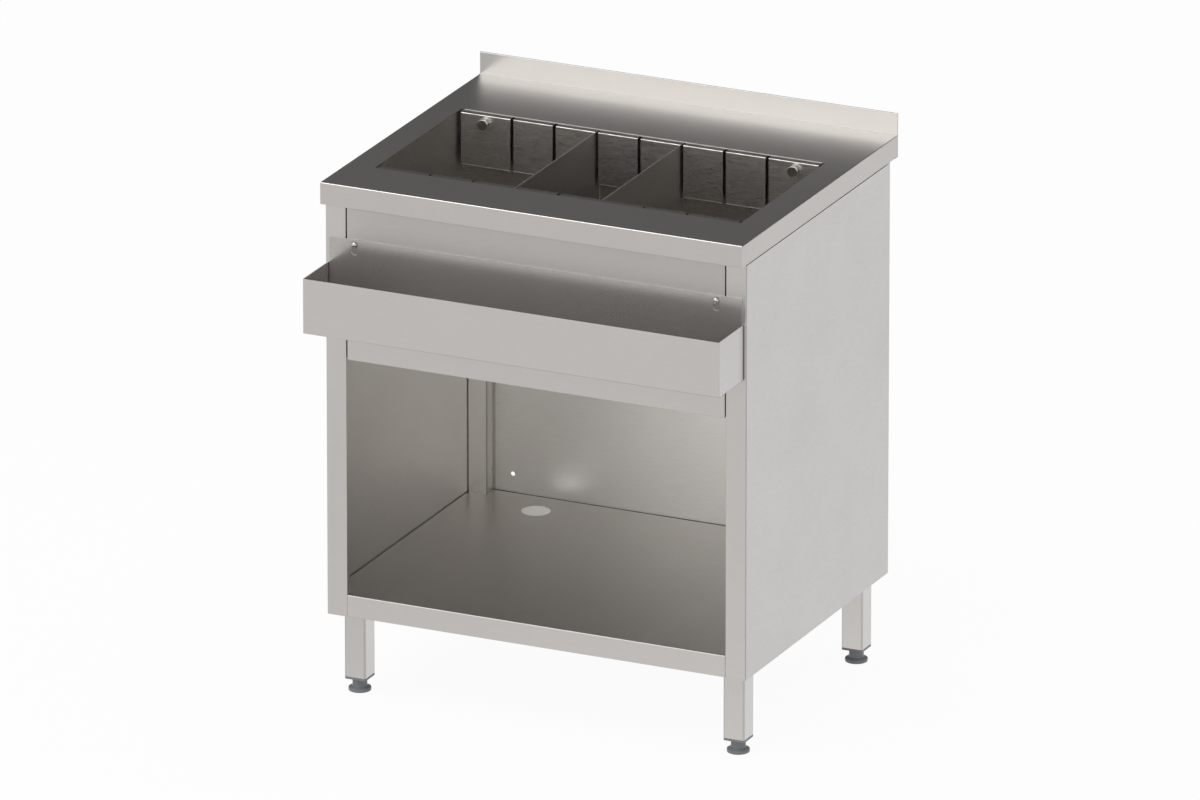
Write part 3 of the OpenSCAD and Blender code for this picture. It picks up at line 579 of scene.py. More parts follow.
@dataclass(frozen=True)
class FoldedSheet:
    """A strip of sheet folded along parallel lines.

    Attributes:
        corners: the outer outline across the run, one point at each fold and free end.
        run: axis that the folds run along.
        span: start and end of the run.
        radius: outer radius of each fold, in order.
        bend_slot: material slot of the bends.
    """

    corners: tuple[Point, ...]
    run: Axis
    span: Point
    radius: tuple[float, ...] = ()
    bend_slot: int = OWN_SLOT

    def add_to(self, bm: BMesh) -> None:
        """Adds the outer surface to a mesh.

        Args:
            bm: the mesh that it goes into.
        """
        start, end = self.span
        points = [bm.verts.new(spread((*corner, start), self.run)) for corner in self.corners]
        lines = [bm.edges.new(pair) for pair in zip(points, points[1:])]
        bmesh.ops.translate(bm, verts=pull_edges(bm, lines), vec=self.run.unit * (end - start))
        folds = [edge for point in points[1:-1] for edge in point.link_edges if runs_along(edge, self.run)]
        for fold, radius in zip(folds, self.radius):
            round_edges(bm, [fold], radius, BEND_STEPS, self.bend_slot, clamp=False)


@dataclass
class Piece:
    """One object of the scene, with what it replaces and rides on.

    Attributes:
        name: the object's name.
        finish: name of its finish.
        slot: the record's material slot.
        nodes: the nodes it stands for; it rides on the first one's body.
        sheet: wall given to an open surface, or 0 for a closed solid; below 0 it grows the other way.
        edge: how its edges are broken, or None.
        inside: finish of a sheet's other side, if it has its own.
        cut: finish of a sheet's cut edges, if they have their own.
        extra: finishes of the faces given an extra slot, one for both sides or one for each.
        even: whether a sheet keeps its full thickness at sharp folds.
        bm: the mesh that it is built in.
    """

    name: str
    finish: str
    slot: str
    nodes: tuple[str, ...]
    sheet: float = 0.0
    edge: Edge | None = Edge.SHEET
    inside: str = ""
    cut: str = ""
    extra: tuple[str | tuple[str, str], ...] = ()
    even: bool = True
    bm: BMesh = field(default_factory=bmesh.new)

    def mark(self, slot: int, chosen: Callable[[Vector, Vector], bool]) -> None:
        """Gives some faces an extra finish.

        Args:
            slot: the extra finish's slot.
            chosen: says of a face's middle and normal whether it gets that slot.
        """
        for face in self.bm.faces:
            if chosen(face.calc_center_median(), face.normal):
                face.material_index = slot

    def _body(self) -> str:
        """Name of the body that holds the first node."""
        bodies = frame["record"]["behaviour"]["bodies"]
        return next(body for body, members in bodies.items() if self.nodes[0] in members)

    def _dress(self, mesh: Mesh) -> None:
        """Fills three slots for each finish: the side that faces point to, the other side, cut edges.

        Args:
            mesh: the piece's mesh.
        """
        for finish in ((self.finish, self.inside or self.finish), *self.extra):
            near, far = (finish, finish) if isinstance(finish, str) else finish
            sides = (far, near) if self.sheet < 0 else (near, far)
            for name in (*sides, self.cut or near):
                mesh.materials.append(material_of(name))

    def finish_up(self) -> None:
        """Turns the mesh into an object, dressed and tied to its body."""
        mesh = bpy.data.meshes.new(self.name)
        bmesh.ops.remove_doubles(self.bm, verts=self.bm.verts, dist=SAME)
        self.bm.to_mesh(mesh)
        self.bm.free()
        mesh.shade_smooth()
        thing = add_object(self.name, mesh)
        if self.sheet:
            wall = thing.modifiers.new("wall", "SOLIDIFY")
            wall.thickness = abs(self.sheet)
            wall.offset = -math.copysign(1.0, self.sheet)
            wall.use_even_offset = self.even
            wall.material_offset, wall.material_offset_rim = 1, 2
        if self.edge:
            broken = thing.modifiers.new("edge", "BEVEL")
            broken.width = self.edge.value
            broken.segments = 2
            broken.limit_method = "ANGLE"
            broken.angle_limit = BROKEN_FROM
        thing.modifiers.new("shading", "WEIGHTED_NORMAL").keep_sharp = False
        self._dress(mesh)
        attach(thing, self._body())
        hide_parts(*self.nodes)
        LOG.info("%s: %d faces, for %s", self.name, len(mesh.polygons), ", ".join(self.nodes))


def add_object(name: str, data: ID) -> Object:
    """Adds an object to the scene.

    Args:
        name: its name.
        data: its mesh, lamp or camera.

    Returns:
        The new object.
    """
    thing = bpy.data.objects.new(name, data)
    bpy.context.scene.collection.objects.link(thing)
    return thing


def aim(thing: Object, way: Vector) -> None:
    """Turns a camera or lamp so that it looks along a direction."""
    thing.rotation_mode = "QUATERNION"
    thing.rotation_quaternion = way.to_track_quat("-Z", "Y")


# Studio


@dataclass
class Studio:
    """Camera, light, backdrop and floor.

    Attributes:
        azimuth, elevation: the camera's direction, in degrees.
        target: the point at the picture's centre.
        distance: from target to camera.
        lens_mm, sensor_mm: focal length and sensor width.
        clip: nearest and farthest distance that the camera sees.
        rear_turn, above_turn: where the direction's Y and Z turn from bright to dim surroundings.
        front_turn: where the direction's Z turns from level front to front above.
        front_light: what metal mirrors at those two ends.
        rear_light: what metal mirrors of the rear above.
        matt_light: what matt surfaces get from all around.
        lamp_place, lamp_target: where the lamp hangs and looks.
        lamp_size, lamp_power: its sides and its power.
        floor_half, floor_drop: half the floor's side, and how far it lies below the feet.
        floor_colour: what the floor scatters.
        floor_white: how much of the floor the camera sees as plain white.
        floor_slant: share of X beside Y in the way that the mirrored floor brightens.
        floor_reach, floor_light: where it brightens, and from what to what.
    """

    azimuth: float = 24.942
    elevation: float = 19.593
    target: Place = (-0.00726, 0.0155, 0.51387)
    distance: float = 34.6281
    lens_mm: float = 598.97
    sensor_mm: float = 36.0
    clip: Point = (1.0, 200.0)
    rear_turn: Point = (-0.25, 0.25)
    above_turn: Point = (-0.02, 0.06)
    front_turn: Point = (0.42, 0.80)
    front_light: Point = (1.07, 0.62)
    rear_light: float = 0.058
    matt_light: float = 0.75
    lamp_place: Place = (-1.2, -1.8, 3.6)
    lamp_target: Place = (0.0, 0.0, 0.6)
    lamp_size: Point = (3.0, 2.0)
    lamp_power: float = 40.0
    floor_half: float = 9.0
    floor_drop: float = 0.0002
    floor_colour: Colour = (0.86, 0.86, 0.85)
    floor_white: float = 0.94
    floor_slant: float = 0.6
    floor_reach: Point = (-1.15, 0.10)
    floor_light: Point = (0.70, 0.84)

    def place_camera(self) -> None:
        """Makes the camera and looks through it."""
        lens = bpy.data.cameras.new("camera")
        lens.lens, lens.sensor_width = self.lens_mm, self.sensor_mm
        lens.clip_start, lens.clip_end = self.clip
        camera = add_object("camera", lens)
        az, el = math.radians(self.azimuth), math.radians(self.elevation)
        back = Vector((math.sin(az) * math.cos(el), -math.cos(az) * math.cos(el), math.sin(el)))
        camera.location = Vector(self.target) + back * self.distance
        aim(camera, -back)
        bpy.context.scene.camera = camera

    def light_world(self) -> None:
        """Sets a white backdrop; metal mirrors a bright front and a dim upper rear."""
        world = bpy.data.worlds.new("studio")
        world.use_nodes = True
        bpy.context.scene.world = world
        desk = NodeDesk(world.node_tree)
        desk.tree.nodes.clear()
        place = desk.add("ShaderNodeTexCoord").outputs["Generated"]
        parts = desk.add("ShaderNodeSeparateXYZ", {0: place}).outputs
        path = desk.add("ShaderNodeLightPath").outputs
        rear, above = desk.mapped(parts["Y"], self.rear_turn), desk.mapped(parts["Z"], self.above_turn)
        dim = desk.math("MULTIPLY", rear, above)
        front = desk.mapped(parts["Z"], self.front_turn, self.front_light)
        mirrored = desk.mix(dim, front, self.rear_light)
        lit = desk.mix(path["Is Diffuse Ray"], mirrored, self.matt_light)
        seen = desk.mix(path["Is Camera Ray"], lit, 1.0)
        background = desk.add("ShaderNodeBackground", {"Color": WHITE, "Strength": seen})
        desk.add("ShaderNodeOutputWorld", {"Surface": background.outputs[0]})

    def hang_lamp(self) -> None:
        """Hangs one large soft lamp above and in front of the station."""
        lamp = bpy.data.lights.new("softbox", "AREA")
        lamp.shape = "RECTANGLE"
        lamp.size, lamp.size_y = self.lamp_size
        lamp.energy = self.lamp_power
        hung = add_object("softbox", lamp)
        hung.location = self.lamp_place
        aim(hung, Vector(self.lamp_target) - hung.location)

    def lay_floor(self) -> None:
        """Lays a pale floor that the camera and the metal see as near white."""
        bm = bmesh.new()
        bmesh.ops.create_grid(bm, x_segments=1, y_segments=1, size=self.floor_half)
        mesh = bpy.data.meshes.new("floor")
        bm.to_mesh(mesh)
        bm.free()
        floor = add_object("floor", mesh)
        floor.location.z = -self.floor_drop
        material = bpy.data.materials.new("pale_floor")
        material.use_nodes = True
        desk = NodeDesk(material.node_tree)
        desk.tree.nodes.clear()
        path = desk.add("ShaderNodeLightPath").outputs
        place = desk.add("ShaderNodeTexCoord").outputs["Object"]
        parts = desk.add("ShaderNodeSeparateXYZ", {0: place}).outputs
        away = desk.math("ADD", desk.math("MULTIPLY", parts["X"], self.floor_slant), parts["Y"])
        level = desk.mix(path["Is Camera Ray"], desk.mapped(away, self.floor_reach, self.floor_light), 1.0)
        matt = desk.add("ShaderNodeBsdfDiffuse", {"Color": (*self.floor_colour, 1.0)})
        glow = desk.add("ShaderNodeEmission", {"Color": WHITE, "Strength": level})
        seen = desk.math("MULTIPLY", path["Is Camera Ray"], self.floor_white)
        share = desk.math("MAXIMUM", seen, path["Is Glossy Ray"])
        both = desk.add("ShaderNodeMixShader", {0: share, 1: matt.outputs[0], 2: glow.outputs[0]})
        desk.add("ShaderNodeOutputMaterial", {"Surface": both.outputs[0]})
        mesh.materials.append(material)

    def build(self) -> None:
        """Sets up the whole studio."""
        self.place_camera()
        self.light_world()
        self.hang_lamp()
        self.lay_floor()
        bpy.context.scene.view_settings.view_transform = "Standard"


# The station


@dataclass
class Worktop:
    """Pressed worktop with apron, hem, bin cut-out and a doubled upstand.

    Attributes:
        sheet, hem: thickness of the sheet, and width of the edge turned in below.
        hem_radius, edge_radius: radii of the lower and upper bends.
        upstand, upstand_thickness: height and doubled thickness of the upstand.
        fillet: radius where the upstand meets the top.
        lift: how far the upstand's foot lies over the top, so that the two don't merge.
        rear_gap: between the pressing and the upstand's rear sheet.
        bin_flange: width of the bin's flange, which the opening clears.
        apron_tilt: largest upward share of a normal that still counts as apron.
    """

    sheet: float = 0.0015
    hem: float = 0.015
    hem_radius: float = 0.0016
    edge_radius: float = 0.0017
    upstand: float = 0.040
    upstand_thickness: float = 0.003
    fillet: float = 0.0006
    lift: float = 0.00005
    rear_gap: float = 0.0001
    bin_flange: float = 0.012
    apron_tilt: float = 0.3

    def build(self) -> None:
        """Builds the pressing and the upstand."""
        self._pressing()
        self._upstand()

    def _pressing(self) -> None:
        """Builds the top with front and side aprons, its hem and the cut-out."""
        low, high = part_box("worktop")
        top = high.z - self.upstand
        # painted light: the top takes a brightened copy of the steel; painted shade: the apron faces a
        # darkened copy, the cut edges a darkened steel
        piece = Piece("worktop_pressing", "steel_worktop_painted_light", "worktop_steel", ("worktop",), sheet=self.sheet,
                      cut="steel_fold_painted_shade", extra=("steel_apron_painted_shade",), even=False)
        bm = piece.bm
        add_block(bm, low, (high.x, high.y - self.sheet - self.rear_gap, top))
        gone = [f for f in bm.faces if f.normal.z < -FACING or f.normal.y > FACING]
        bmesh.ops.delete(bm, geom=gone, context="FACES_ONLY")
        bmesh.ops.delete(bm, geom=[e for e in bm.edges if not e.link_faces], context="EDGES")
        for vert in pull_edges(bm, [e for e in bm.edges if lies_at(e, low.z)]):
            vert.co.x = max(low.x + self.hem, min(high.x - self.hem, vert.co.x))
            vert.co.y = max(low.y + self.hem, vert.co.y)
        self._cut_opening(bm, top)
        round_edges(bm, [e for e in sharp_folds(bm) if not lies_at(e, low.z)], self.edge_radius, steps=5)
        round_edges(bm, [e for e in sharp_folds(bm) if lies_at(e, low.z)], self.hem_radius, steps=3)
        bm.normal_update()
        # painted shade: the apron's faces take the darkened copy
        piece.mark(FIRST_EXTRA, lambda _, normal: abs(normal.z) < self.apron_tilt)
        piece.finish_up()

    def _cut_opening(self, bm: BMesh, top: float) -> None:
        """Cuts the bin's opening out of the top face.

        Args:
            bm: the pressing's mesh.
            top: level of the working face.
        """
        wall_low, wall_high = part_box("ice_bin")
        left, right = wall_low.x + self.bin_flange, wall_high.x - self.bin_flange
        front, rear = wall_low.y + self.bin_flange, wall_high.y - self.bin_flange
        for axis, level in ((Axis.X, left), (Axis.X, right), (Axis.Y, front), (Axis.Y, rear)):
            cut_at(bm, axis, level, self._top_faces(bm, top))
        bm.normal_update()
        middles = {face: face.calc_center_median() for face in self._top_faces(bm, top)}
        opening = [face for face, at in middles.items() if left < at.x < right and front < at.y < rear]
        bmesh.ops.delete(bm, geom=opening, context="FACES")

    @staticmethod
    def _top_faces(bm: BMesh, top: float) -> list[BMFace]:
        """The faces of the working face."""
        return [f for f in bm.faces if f.normal.z > ALONG and abs(f.calc_center_median().z - top) < SAME]

    def _upstand(self) -> None:
        """Builds the upstand, folded double, with the rear apron below it."""
        low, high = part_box("worktop")
        face, foot = high.y - self.upstand_thickness, high.z - self.upstand + self.lift
        corners = ((face - 2 * self.fillet, foot), (face, foot), (face, high.z), (high.y, high.z),
                   (high.y, low.z), (high.y - self.hem, low.z))
        turn = self.upstand_thickness / 2 - self.lift
        # painted shade: the upstand takes a darkened copy of the steel
        piece = Piece("worktop_upstand", "steel_upstand_painted_shade", "worktop_steel", ("worktop",),
                      sheet=self.sheet - 2 * self.lift, extra=("steel_fold_painted_shade",))
        radii = (self.fillet, turn, turn, self.hem_radius)
        FoldedSheet(corners, Axis.X, (low.x, high.x), radii).add_to(piece.bm)
        # painted shade: the fillet at the foot takes a darkened steel
        piece.mark(FIRST_EXTRA, lambda at, _: at.y < face + self.fillet and at.z < foot + self.fillet)
        piece.finish_up()


@dataclass
class Cabinet:
    """Side panels with stiles, front panel, rear panel and rear posts.

    Attributes:
        sheet, radius: thickness of the sheet, and outer radius of its folds.
        groove_radius: radius of the folds on both sides of the stiles' grooves.
        web_margin: how far the front web reaches past the rear panel's side, and its notches past the folds.
        stile, stile_return: width of a stile, and depth of its inner fold.
        rear_flange, top_flange, bottom_flange: widths of a side panel's flanges.
        panel_flange: depth of the front panel's top and bottom flanges.
        ear, ear_gap: depth of the front panel's ears, and their gap to the stile's fold.
        keyhole_shade_drop: how far below the rail's top the panel's band of painted shade, which its keyholes
            show, begins.
        shade_lap: how far the rear sheet reaches below the deck, as a strip of painted shade in the joint.
        pipe_at, pipe_radius: place and radius of the pipe hole.
        dot_in, dot_up, dot_radius: place and radius of the small hole in each post.
    """

    sheet: float = 0.001
    radius: float = 0.002
    groove_radius: float = 0.0008
    web_margin: float = 0.0002
    stile: float = 0.0383
    stile_return: float = 0.012
    rear_flange: float = 0.054
    top_flange: float = 0.027
    bottom_flange: float = 0.013
    panel_flange: float = 0.022
    ear: float = 0.020
    ear_gap: float = 0.0003
    keyhole_shade_drop: float = 0.001
    shade_lap: float = 0.006
    pipe_at: Point = (-0.324, 0.226)
    pipe_radius: float = 0.004
    dot_in: float = 0.007
    dot_up: float = 0.038
    dot_radius: float = 0.002

    def build(self) -> None:
        """Builds the cabinet's panels."""
        for side, sign in SIDES.items():
            self._side_panel(side, sign)
            self._post(side, sign)
        self._front_panel()
        self._rear_panel()

    def _side_panel(self, side: str, sign: int) -> None:
        """Builds a side panel with its stile and flanges.

        Args:
            side: left or right.
            sign: -1 for left, 1 for right.
        """
        node = "side_panel_" + side
        low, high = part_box(node)
        outer = sign * max(abs(low.x), abs(high.x))
        stile = outer - sign * self.stile
        # painted shade: the inner face takes a darkened copy of the steel and the folds a darkened steel
        piece = Piece("side_" + side, "steel_side", "cabinet_steel", (node,), sheet=-sign * self.sheet,
                      inside="steel_lining_painted_shade", extra=("steel_bend_painted_shade", "steel_front"))
        corners = ((stile, low.y + self.stile_return), (stile, low.y), (outer, low.y), (outer, high.y),
                   (outer - sign * self.rear_flange, high.y))
        FoldedSheet(corners, Axis.Z, (low.z, high.z), (self.groove_radius, self.radius, self.radius),
                    FIRST_EXTRA).add_to(piece.bm)
        piece.mark(SECOND_EXTRA, lambda at, normal: at.y < 0 and (
            abs(at.x - stile) < self.groove_radius or abs(normal.y) > FACING))
        piece.finish_up()
        flanges = Piece("side_flanges_" + side, "steel_side", "cabinet_steel", (node,))
        inner = outer - sign * self.sheet
        for under, width in ((low.z, self.bottom_flange), (high.z - self.sheet, self.top_flange)):
            add_block(flanges.bm, (outer - sign * width, low.y + self.sheet, under),
                      (inner, high.y - self.sheet, under + self.sheet))
        flanges.finish_up()

    def _front_panel(self) -> None:
        """Builds the front panel: web, side returns, ears, top and bottom flanges."""
        low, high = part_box("front_panel")
        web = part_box("rear_panel")[1].x + self.web_margin
        ear_y = low.y + self.stile_return + self.ear_gap
        notch = self.groove_radius + self.web_margin
        # painted shade: the web above the rail and the inner face take darkened copies of the steel
        piece = Piece("front_web", "steel_panel_painted_shade", "cabinet_steel", ("front_panel",), sheet=self.sheet,
                      inside="steel_lining_painted_shade", extra=("steel_front", "steel_plate_painted_shade"))
        places = [Vector((x, low.y, z)) for x, z in (
            (-web, low.z + notch), (notch - web, low.z + notch), (notch - web, low.z), (web - notch, low.z),
            (web - notch, low.z + notch), (web, low.z + notch), (web, high.z), (-web, high.z))]
        back = Vector((0, ear_y - low.y, 0))
        folds = {2: Vector((0, self.panel_flange, 0)), 5: back, 7: back}
        add_tray(piece.bm, places, folds, self.groove_radius)
        rail_low, rail_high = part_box("speed_rail")
        rail_middle, keyhole_shade_top = (rail_low.z + rail_high.z) / 2, rail_high.z - self.keyhole_shade_drop
        cut_at(piece.bm, Axis.Z, rail_middle)
        cut_at(piece.bm, Axis.Z, keyhole_shade_top)
        # painted shade: from just under the rail's top down to its middle the web takes a darker copy, which
        # the keyholes show; below the middle the plain front steel
        piece.mark(SECOND_EXTRA, lambda at, _: at.z < keyhole_shade_top)
        piece.mark(FIRST_EXTRA, lambda at, _: at.z < rail_middle)
        piece.finish_up()
        rest = Piece("front_flanges", "steel_front", "cabinet_steel", ("front_panel",))
        foot, top, outer = low.z + notch, high.z - self.sheet, high.x - self.sheet
        add_block(rest.bm, (notch - web, low.y + self.sheet, top),
                  (web - notch, low.y + self.panel_flange, high.z))
        for sign in SIDES.values():
            for first, last, depth in ((web, outer, self.sheet), (outer, high.x, self.ear)):
                add_block(rest.bm, (sign * first, ear_y, foot),
                          (sign * last, ear_y + depth, top - self.sheet))
        rest.finish_up()

    def _rear_panel(self) -> None:
        """Builds the rear panel with its pipe hole."""
        low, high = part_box("rear_panel")
        # painted light: the inner face takes a brightened copy of the steel; painted shade: its strip below
        # the deck is near-black on the inner side
        piece = Piece("rear_sheet", "steel_rear_painted_light", "cabinet_steel", ("rear_panel",), sheet=self.sheet,
                      inside="steel_front", extra=(("steel_painted_shade", "steel_front"),))
        rim = loop_of(piece.bm, rectangle((low.x, low.z - self.shade_lap), (high.x, high.z)), Axis.Y, low.y)
        hole = circle_of(piece.bm, spread((*self.pipe_at, low.y), Axis.Y), self.pipe_radius, Axis.Y, steps=32)
        fill_outline(piece.bm, (rim, hole), -Axis.Y.unit)
        cut_at(piece.bm, Axis.Z, low.z)
        # painted shade on the strip below the deck, standing in the joint
        piece.mark(FIRST_EXTRA, lambda at, _: at.z < low.z)
        piece.finish_up()

    def _post(self, side: str, sign: int) -> None:
        """Builds a rear corner post with the small hole in its side.

        Args:
            side: left or right.
            sign: -1 for left, 1 for right.
        """
        node = "rear_post_" + side
        low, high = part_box(node)
        outer, inner = sorted((low.x, high.x), key=abs, reverse=True)
        turn = low.y + 2 * self.radius
        # painted light: the front takes a brightened copy of the steel; painted shade: the fold takes a
        # darkened steel and the side a darkened copy
        piece = Piece("post_" + side, "steel_post_painted_light", "cabinet_steel", (node,), sheet=sign * self.sheet,
                      extra=("steel_bend_painted_shade", "steel_painted_shade_post_side"))
        FoldedSheet(((outer, low.y), (inner, low.y), (inner, turn)), Axis.Z, (low.z, high.z), (self.radius,),
                    FIRST_EXTRA).add_to(piece.bm)
        rim = loop_of(piece.bm, rectangle((turn, low.z), (high.y, high.z)), Axis.X, inner)
        place = Vector((inner, high.y - self.dot_in, low.z + self.dot_up))
        hole = circle_of(piece.bm, place, self.dot_radius, Axis.X, steps=24)
        fill_outline(piece.bm, (rim, hole), -Axis.X.unit)
        # painted shade: the side faces take the darkened copy
        piece.mark(SECOND_EXTRA, lambda _, normal: abs(normal.x) > ALONG)
        piece.finish_up()


@dataclass
class Shelf:
    """Pressed bottom shelf: deck with a pipe hole, front apron and hem, skirts.

    Attributes:
        sheet, radius: thickness of the sheet, and outer radius of its folds.
        hem: width of the apron's edge turned in below.
        apron_gap: how far each end of the apron reaches past the rear panel's side.
        stile_return: depth at the front that the stiles take.
        skirt_lift: how far the skirts end above the shelf's lower edge.
        hole, hole_radius: place and radius of the pipe hole.
        side_joint, rear_joint: width of the dark joints beside and behind the deck.
    """

    sheet: float = 0.0012
    radius: float = 0.002
    hem: float = 0.015
    apron_gap: float = 0.002
    stile_return: float = 0.0126
    skirt_lift: float = 0.001
    hole: Point = (-0.246, 0.2625)
    hole_radius: float = 0.026
    side_joint: float = 0.0010
    rear_joint: float = 0.0034

    def build(self) -> None:
        """Builds the shelf."""
        low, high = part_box("bottom_shelf")
        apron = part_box("rear_panel")[1].x + self.apron_gap
        deck_y = low.y + self.stile_return
        # painted shade: the deck takes a darkened copy of the steel
        piece = Piece("shelf_deck", "steel_inside_painted_shade", "cabinet_steel", ("bottom_shelf",), sheet=-self.sheet,
                      extra=("steel_front",))
        FoldedSheet(((deck_y, high.z), (low.y, high.z), (low.y, low.z), (low.y + self.hem, low.z)), Axis.X,
                    (-apron, apron), (self.radius, self.radius)).add_to(piece.bm)
        piece.mark(FIRST_EXTRA, lambda _, normal: abs(normal.y) > FACING)
        side, rear = high.x - self.side_joint, high.y - self.rear_joint
        outline = ((-apron, deck_y), (apron, deck_y), (side, deck_y), (side, rear), (-side, rear),
                   (-side, deck_y))
        rim = loop_of(piece.bm, outline, Axis.Z, high.z)
        hole = circle_of(piece.bm, Vector((*self.hole, high.z)), self.hole_radius, Axis.Z, steps=64)
        fill_outline(piece.bm, (rim, hole), -UP)
        piece.finish_up()
        # painted shade: the skirts take the same darkened copy
        skirts = Piece("shelf_skirts", "steel_inside_painted_shade", "cabinet_steel", ("bottom_shelf",))
        foot, top = low.z + self.skirt_lift, high.z - self.sheet
        for sign in SIDES.values():
            add_block(skirts.bm, (sign * side, deck_y, foot), (sign * (side - self.sheet), rear, top))
        add_block(skirts.bm, (-side, rear - self.sheet, foot), (side, rear, top))
        skirts.finish_up()


@dataclass
class Legs:
    """Square tube legs with plates, plastic plugs and round screw feet.

    Attributes:
        side, wall, corner: side, wall and corner radius of the tube.
        plate, plate_thickness, plate_corner: side, thickness and corner radius of the mounting plate.
        plug_gap: between the plug and the tube's wall.
        bore: radius and bottom of the foot's bore.
        rim_edge: how far the rim's edges are broken.
        rim_height: height of the rim's straight part.
        neck, neck_edge, neck_foot: radius of the neck, its lower bend, and where the neck starts.
        shoulder: height at which the sloping shoulder ends.
    """

    side: float = 0.040
    wall: float = 0.0015
    corner: float = 0.003
    plate: float = 0.060
    plate_thickness: float = 0.003
    plate_corner: float = 0.002
    plug_gap: float = 0.0001
    bore: Point = (0.00505, 0.0046)
    rim_edge: float = 0.0005
    rim_height: float = 0.0052
    neck: float = 0.013
    neck_edge: float = 0.001
    neck_foot: float = 0.010
    shoulder: float = 0.008

    def build(self) -> None:
        """Builds the four legs."""
        for corner in CORNERS:
            self._tube(corner)
            self._plug(corner)
            self._foot(corner)

    def _tube(self, corner: str) -> None:
        """Builds a leg's tube and its mounting plate.

        Args:
            corner: the leg's corner of the station.
        """
        node = "leg_" + corner
        low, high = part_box(node)
        middle, seat = (low + high) / 2, high.z - self.plate_thickness
        # painted shade on the tube's rounded corners and painted light on its faces that look along X
        tube = Piece("tube_" + corner, "steel_upright", "cabinet_steel", (node,), sheet=self.wall,
                     extra=("steel_fold_painted_shade", "steel_leg_side_painted_light"))
        verts = add_square(tube.bm, middle, self.side / 2, (low.z, seat))
        ends = [face for face in tube.bm.faces if abs(face.normal.z) > FACING]
        bmesh.ops.delete(tube.bm, geom=ends, context="FACES_ONLY")
        tube.bm.normal_update()
        # painted light: these faces take a brightened copy of the steel
        tube.mark(SECOND_EXTRA, lambda _, normal: abs(normal.x) > FACING)
        # painted shade: the rounded corners take a darkened steel
        round_edges(tube.bm, edges_along(verts, Axis.Z), self.corner, steps=6, slot=FIRST_EXTRA)
        tube.finish_up()
        plate = Piece("plate_" + corner, "steel_upright", "cabinet_steel", (node,))
        verts = add_square(plate.bm, middle, self.plate / 2, (seat, high.z))
        round_edges(plate.bm, edges_along(verts, Axis.Z), self.plate_corner, steps=3)
        plate.finish_up()

    def _plug(self, corner: str) -> None:
        """Builds a leg's plug: the flange that shows and the part inside the tube.

        Args:
            corner: the leg's corner of the station.
        """
        node = "leg_plug_" + corner
        low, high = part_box(node)
        middle, seat = (low + high) / 2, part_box("leg_" + corner)[0].z
        piece = Piece("plug_" + corner, "plastic_plug", "plastic", (node,), edge=Edge.CAST)
        verts = add_square(piece.bm, middle, self.side / 2, (low.z, seat))
        round_edges(piece.bm, edges_along(verts, Axis.Z), self.corner, steps=6)
        verts = add_square(piece.bm, middle, self.side / 2 - self.wall - self.plug_gap, (seat, high.z))
        round_edges(piece.bm, edges_along(verts, Axis.Z), self.corner - self.wall, steps=4)
        piece.finish_up()

    def _foot(self, corner: str) -> None:
        """Builds a foot: rim, sloping shoulder and neck, turned.

        Args:
            corner: the foot's corner of the station.
        """
        node = "foot_" + corner
        low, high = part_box(node)
        middle = (low + high) / 2
        rim, inner = (high.x - low.x) / 2, (high.x - low.x) / 2 - self.rim_edge
        bore, bottom = self.bore
        profile = ((0.0, 0.0), (inner, 0.0), (rim, self.rim_edge), (rim, self.rim_height),
                   (inner, self.rim_height + self.rim_edge), (self.neck + self.neck_edge, self.shoulder),
                   (self.neck, self.neck_foot), (self.neck, high.z), (bore, high.z), (bore, bottom),
                   (0.0, bottom))
        piece = Piece("pad_" + corner, "plastic_grey", "plastic", (node,), edge=Edge.CAST)
        add_turned(piece.bm, profile, Vector((*middle.xy, 0.0)), UP, steps=64)
        piece.finish_up()


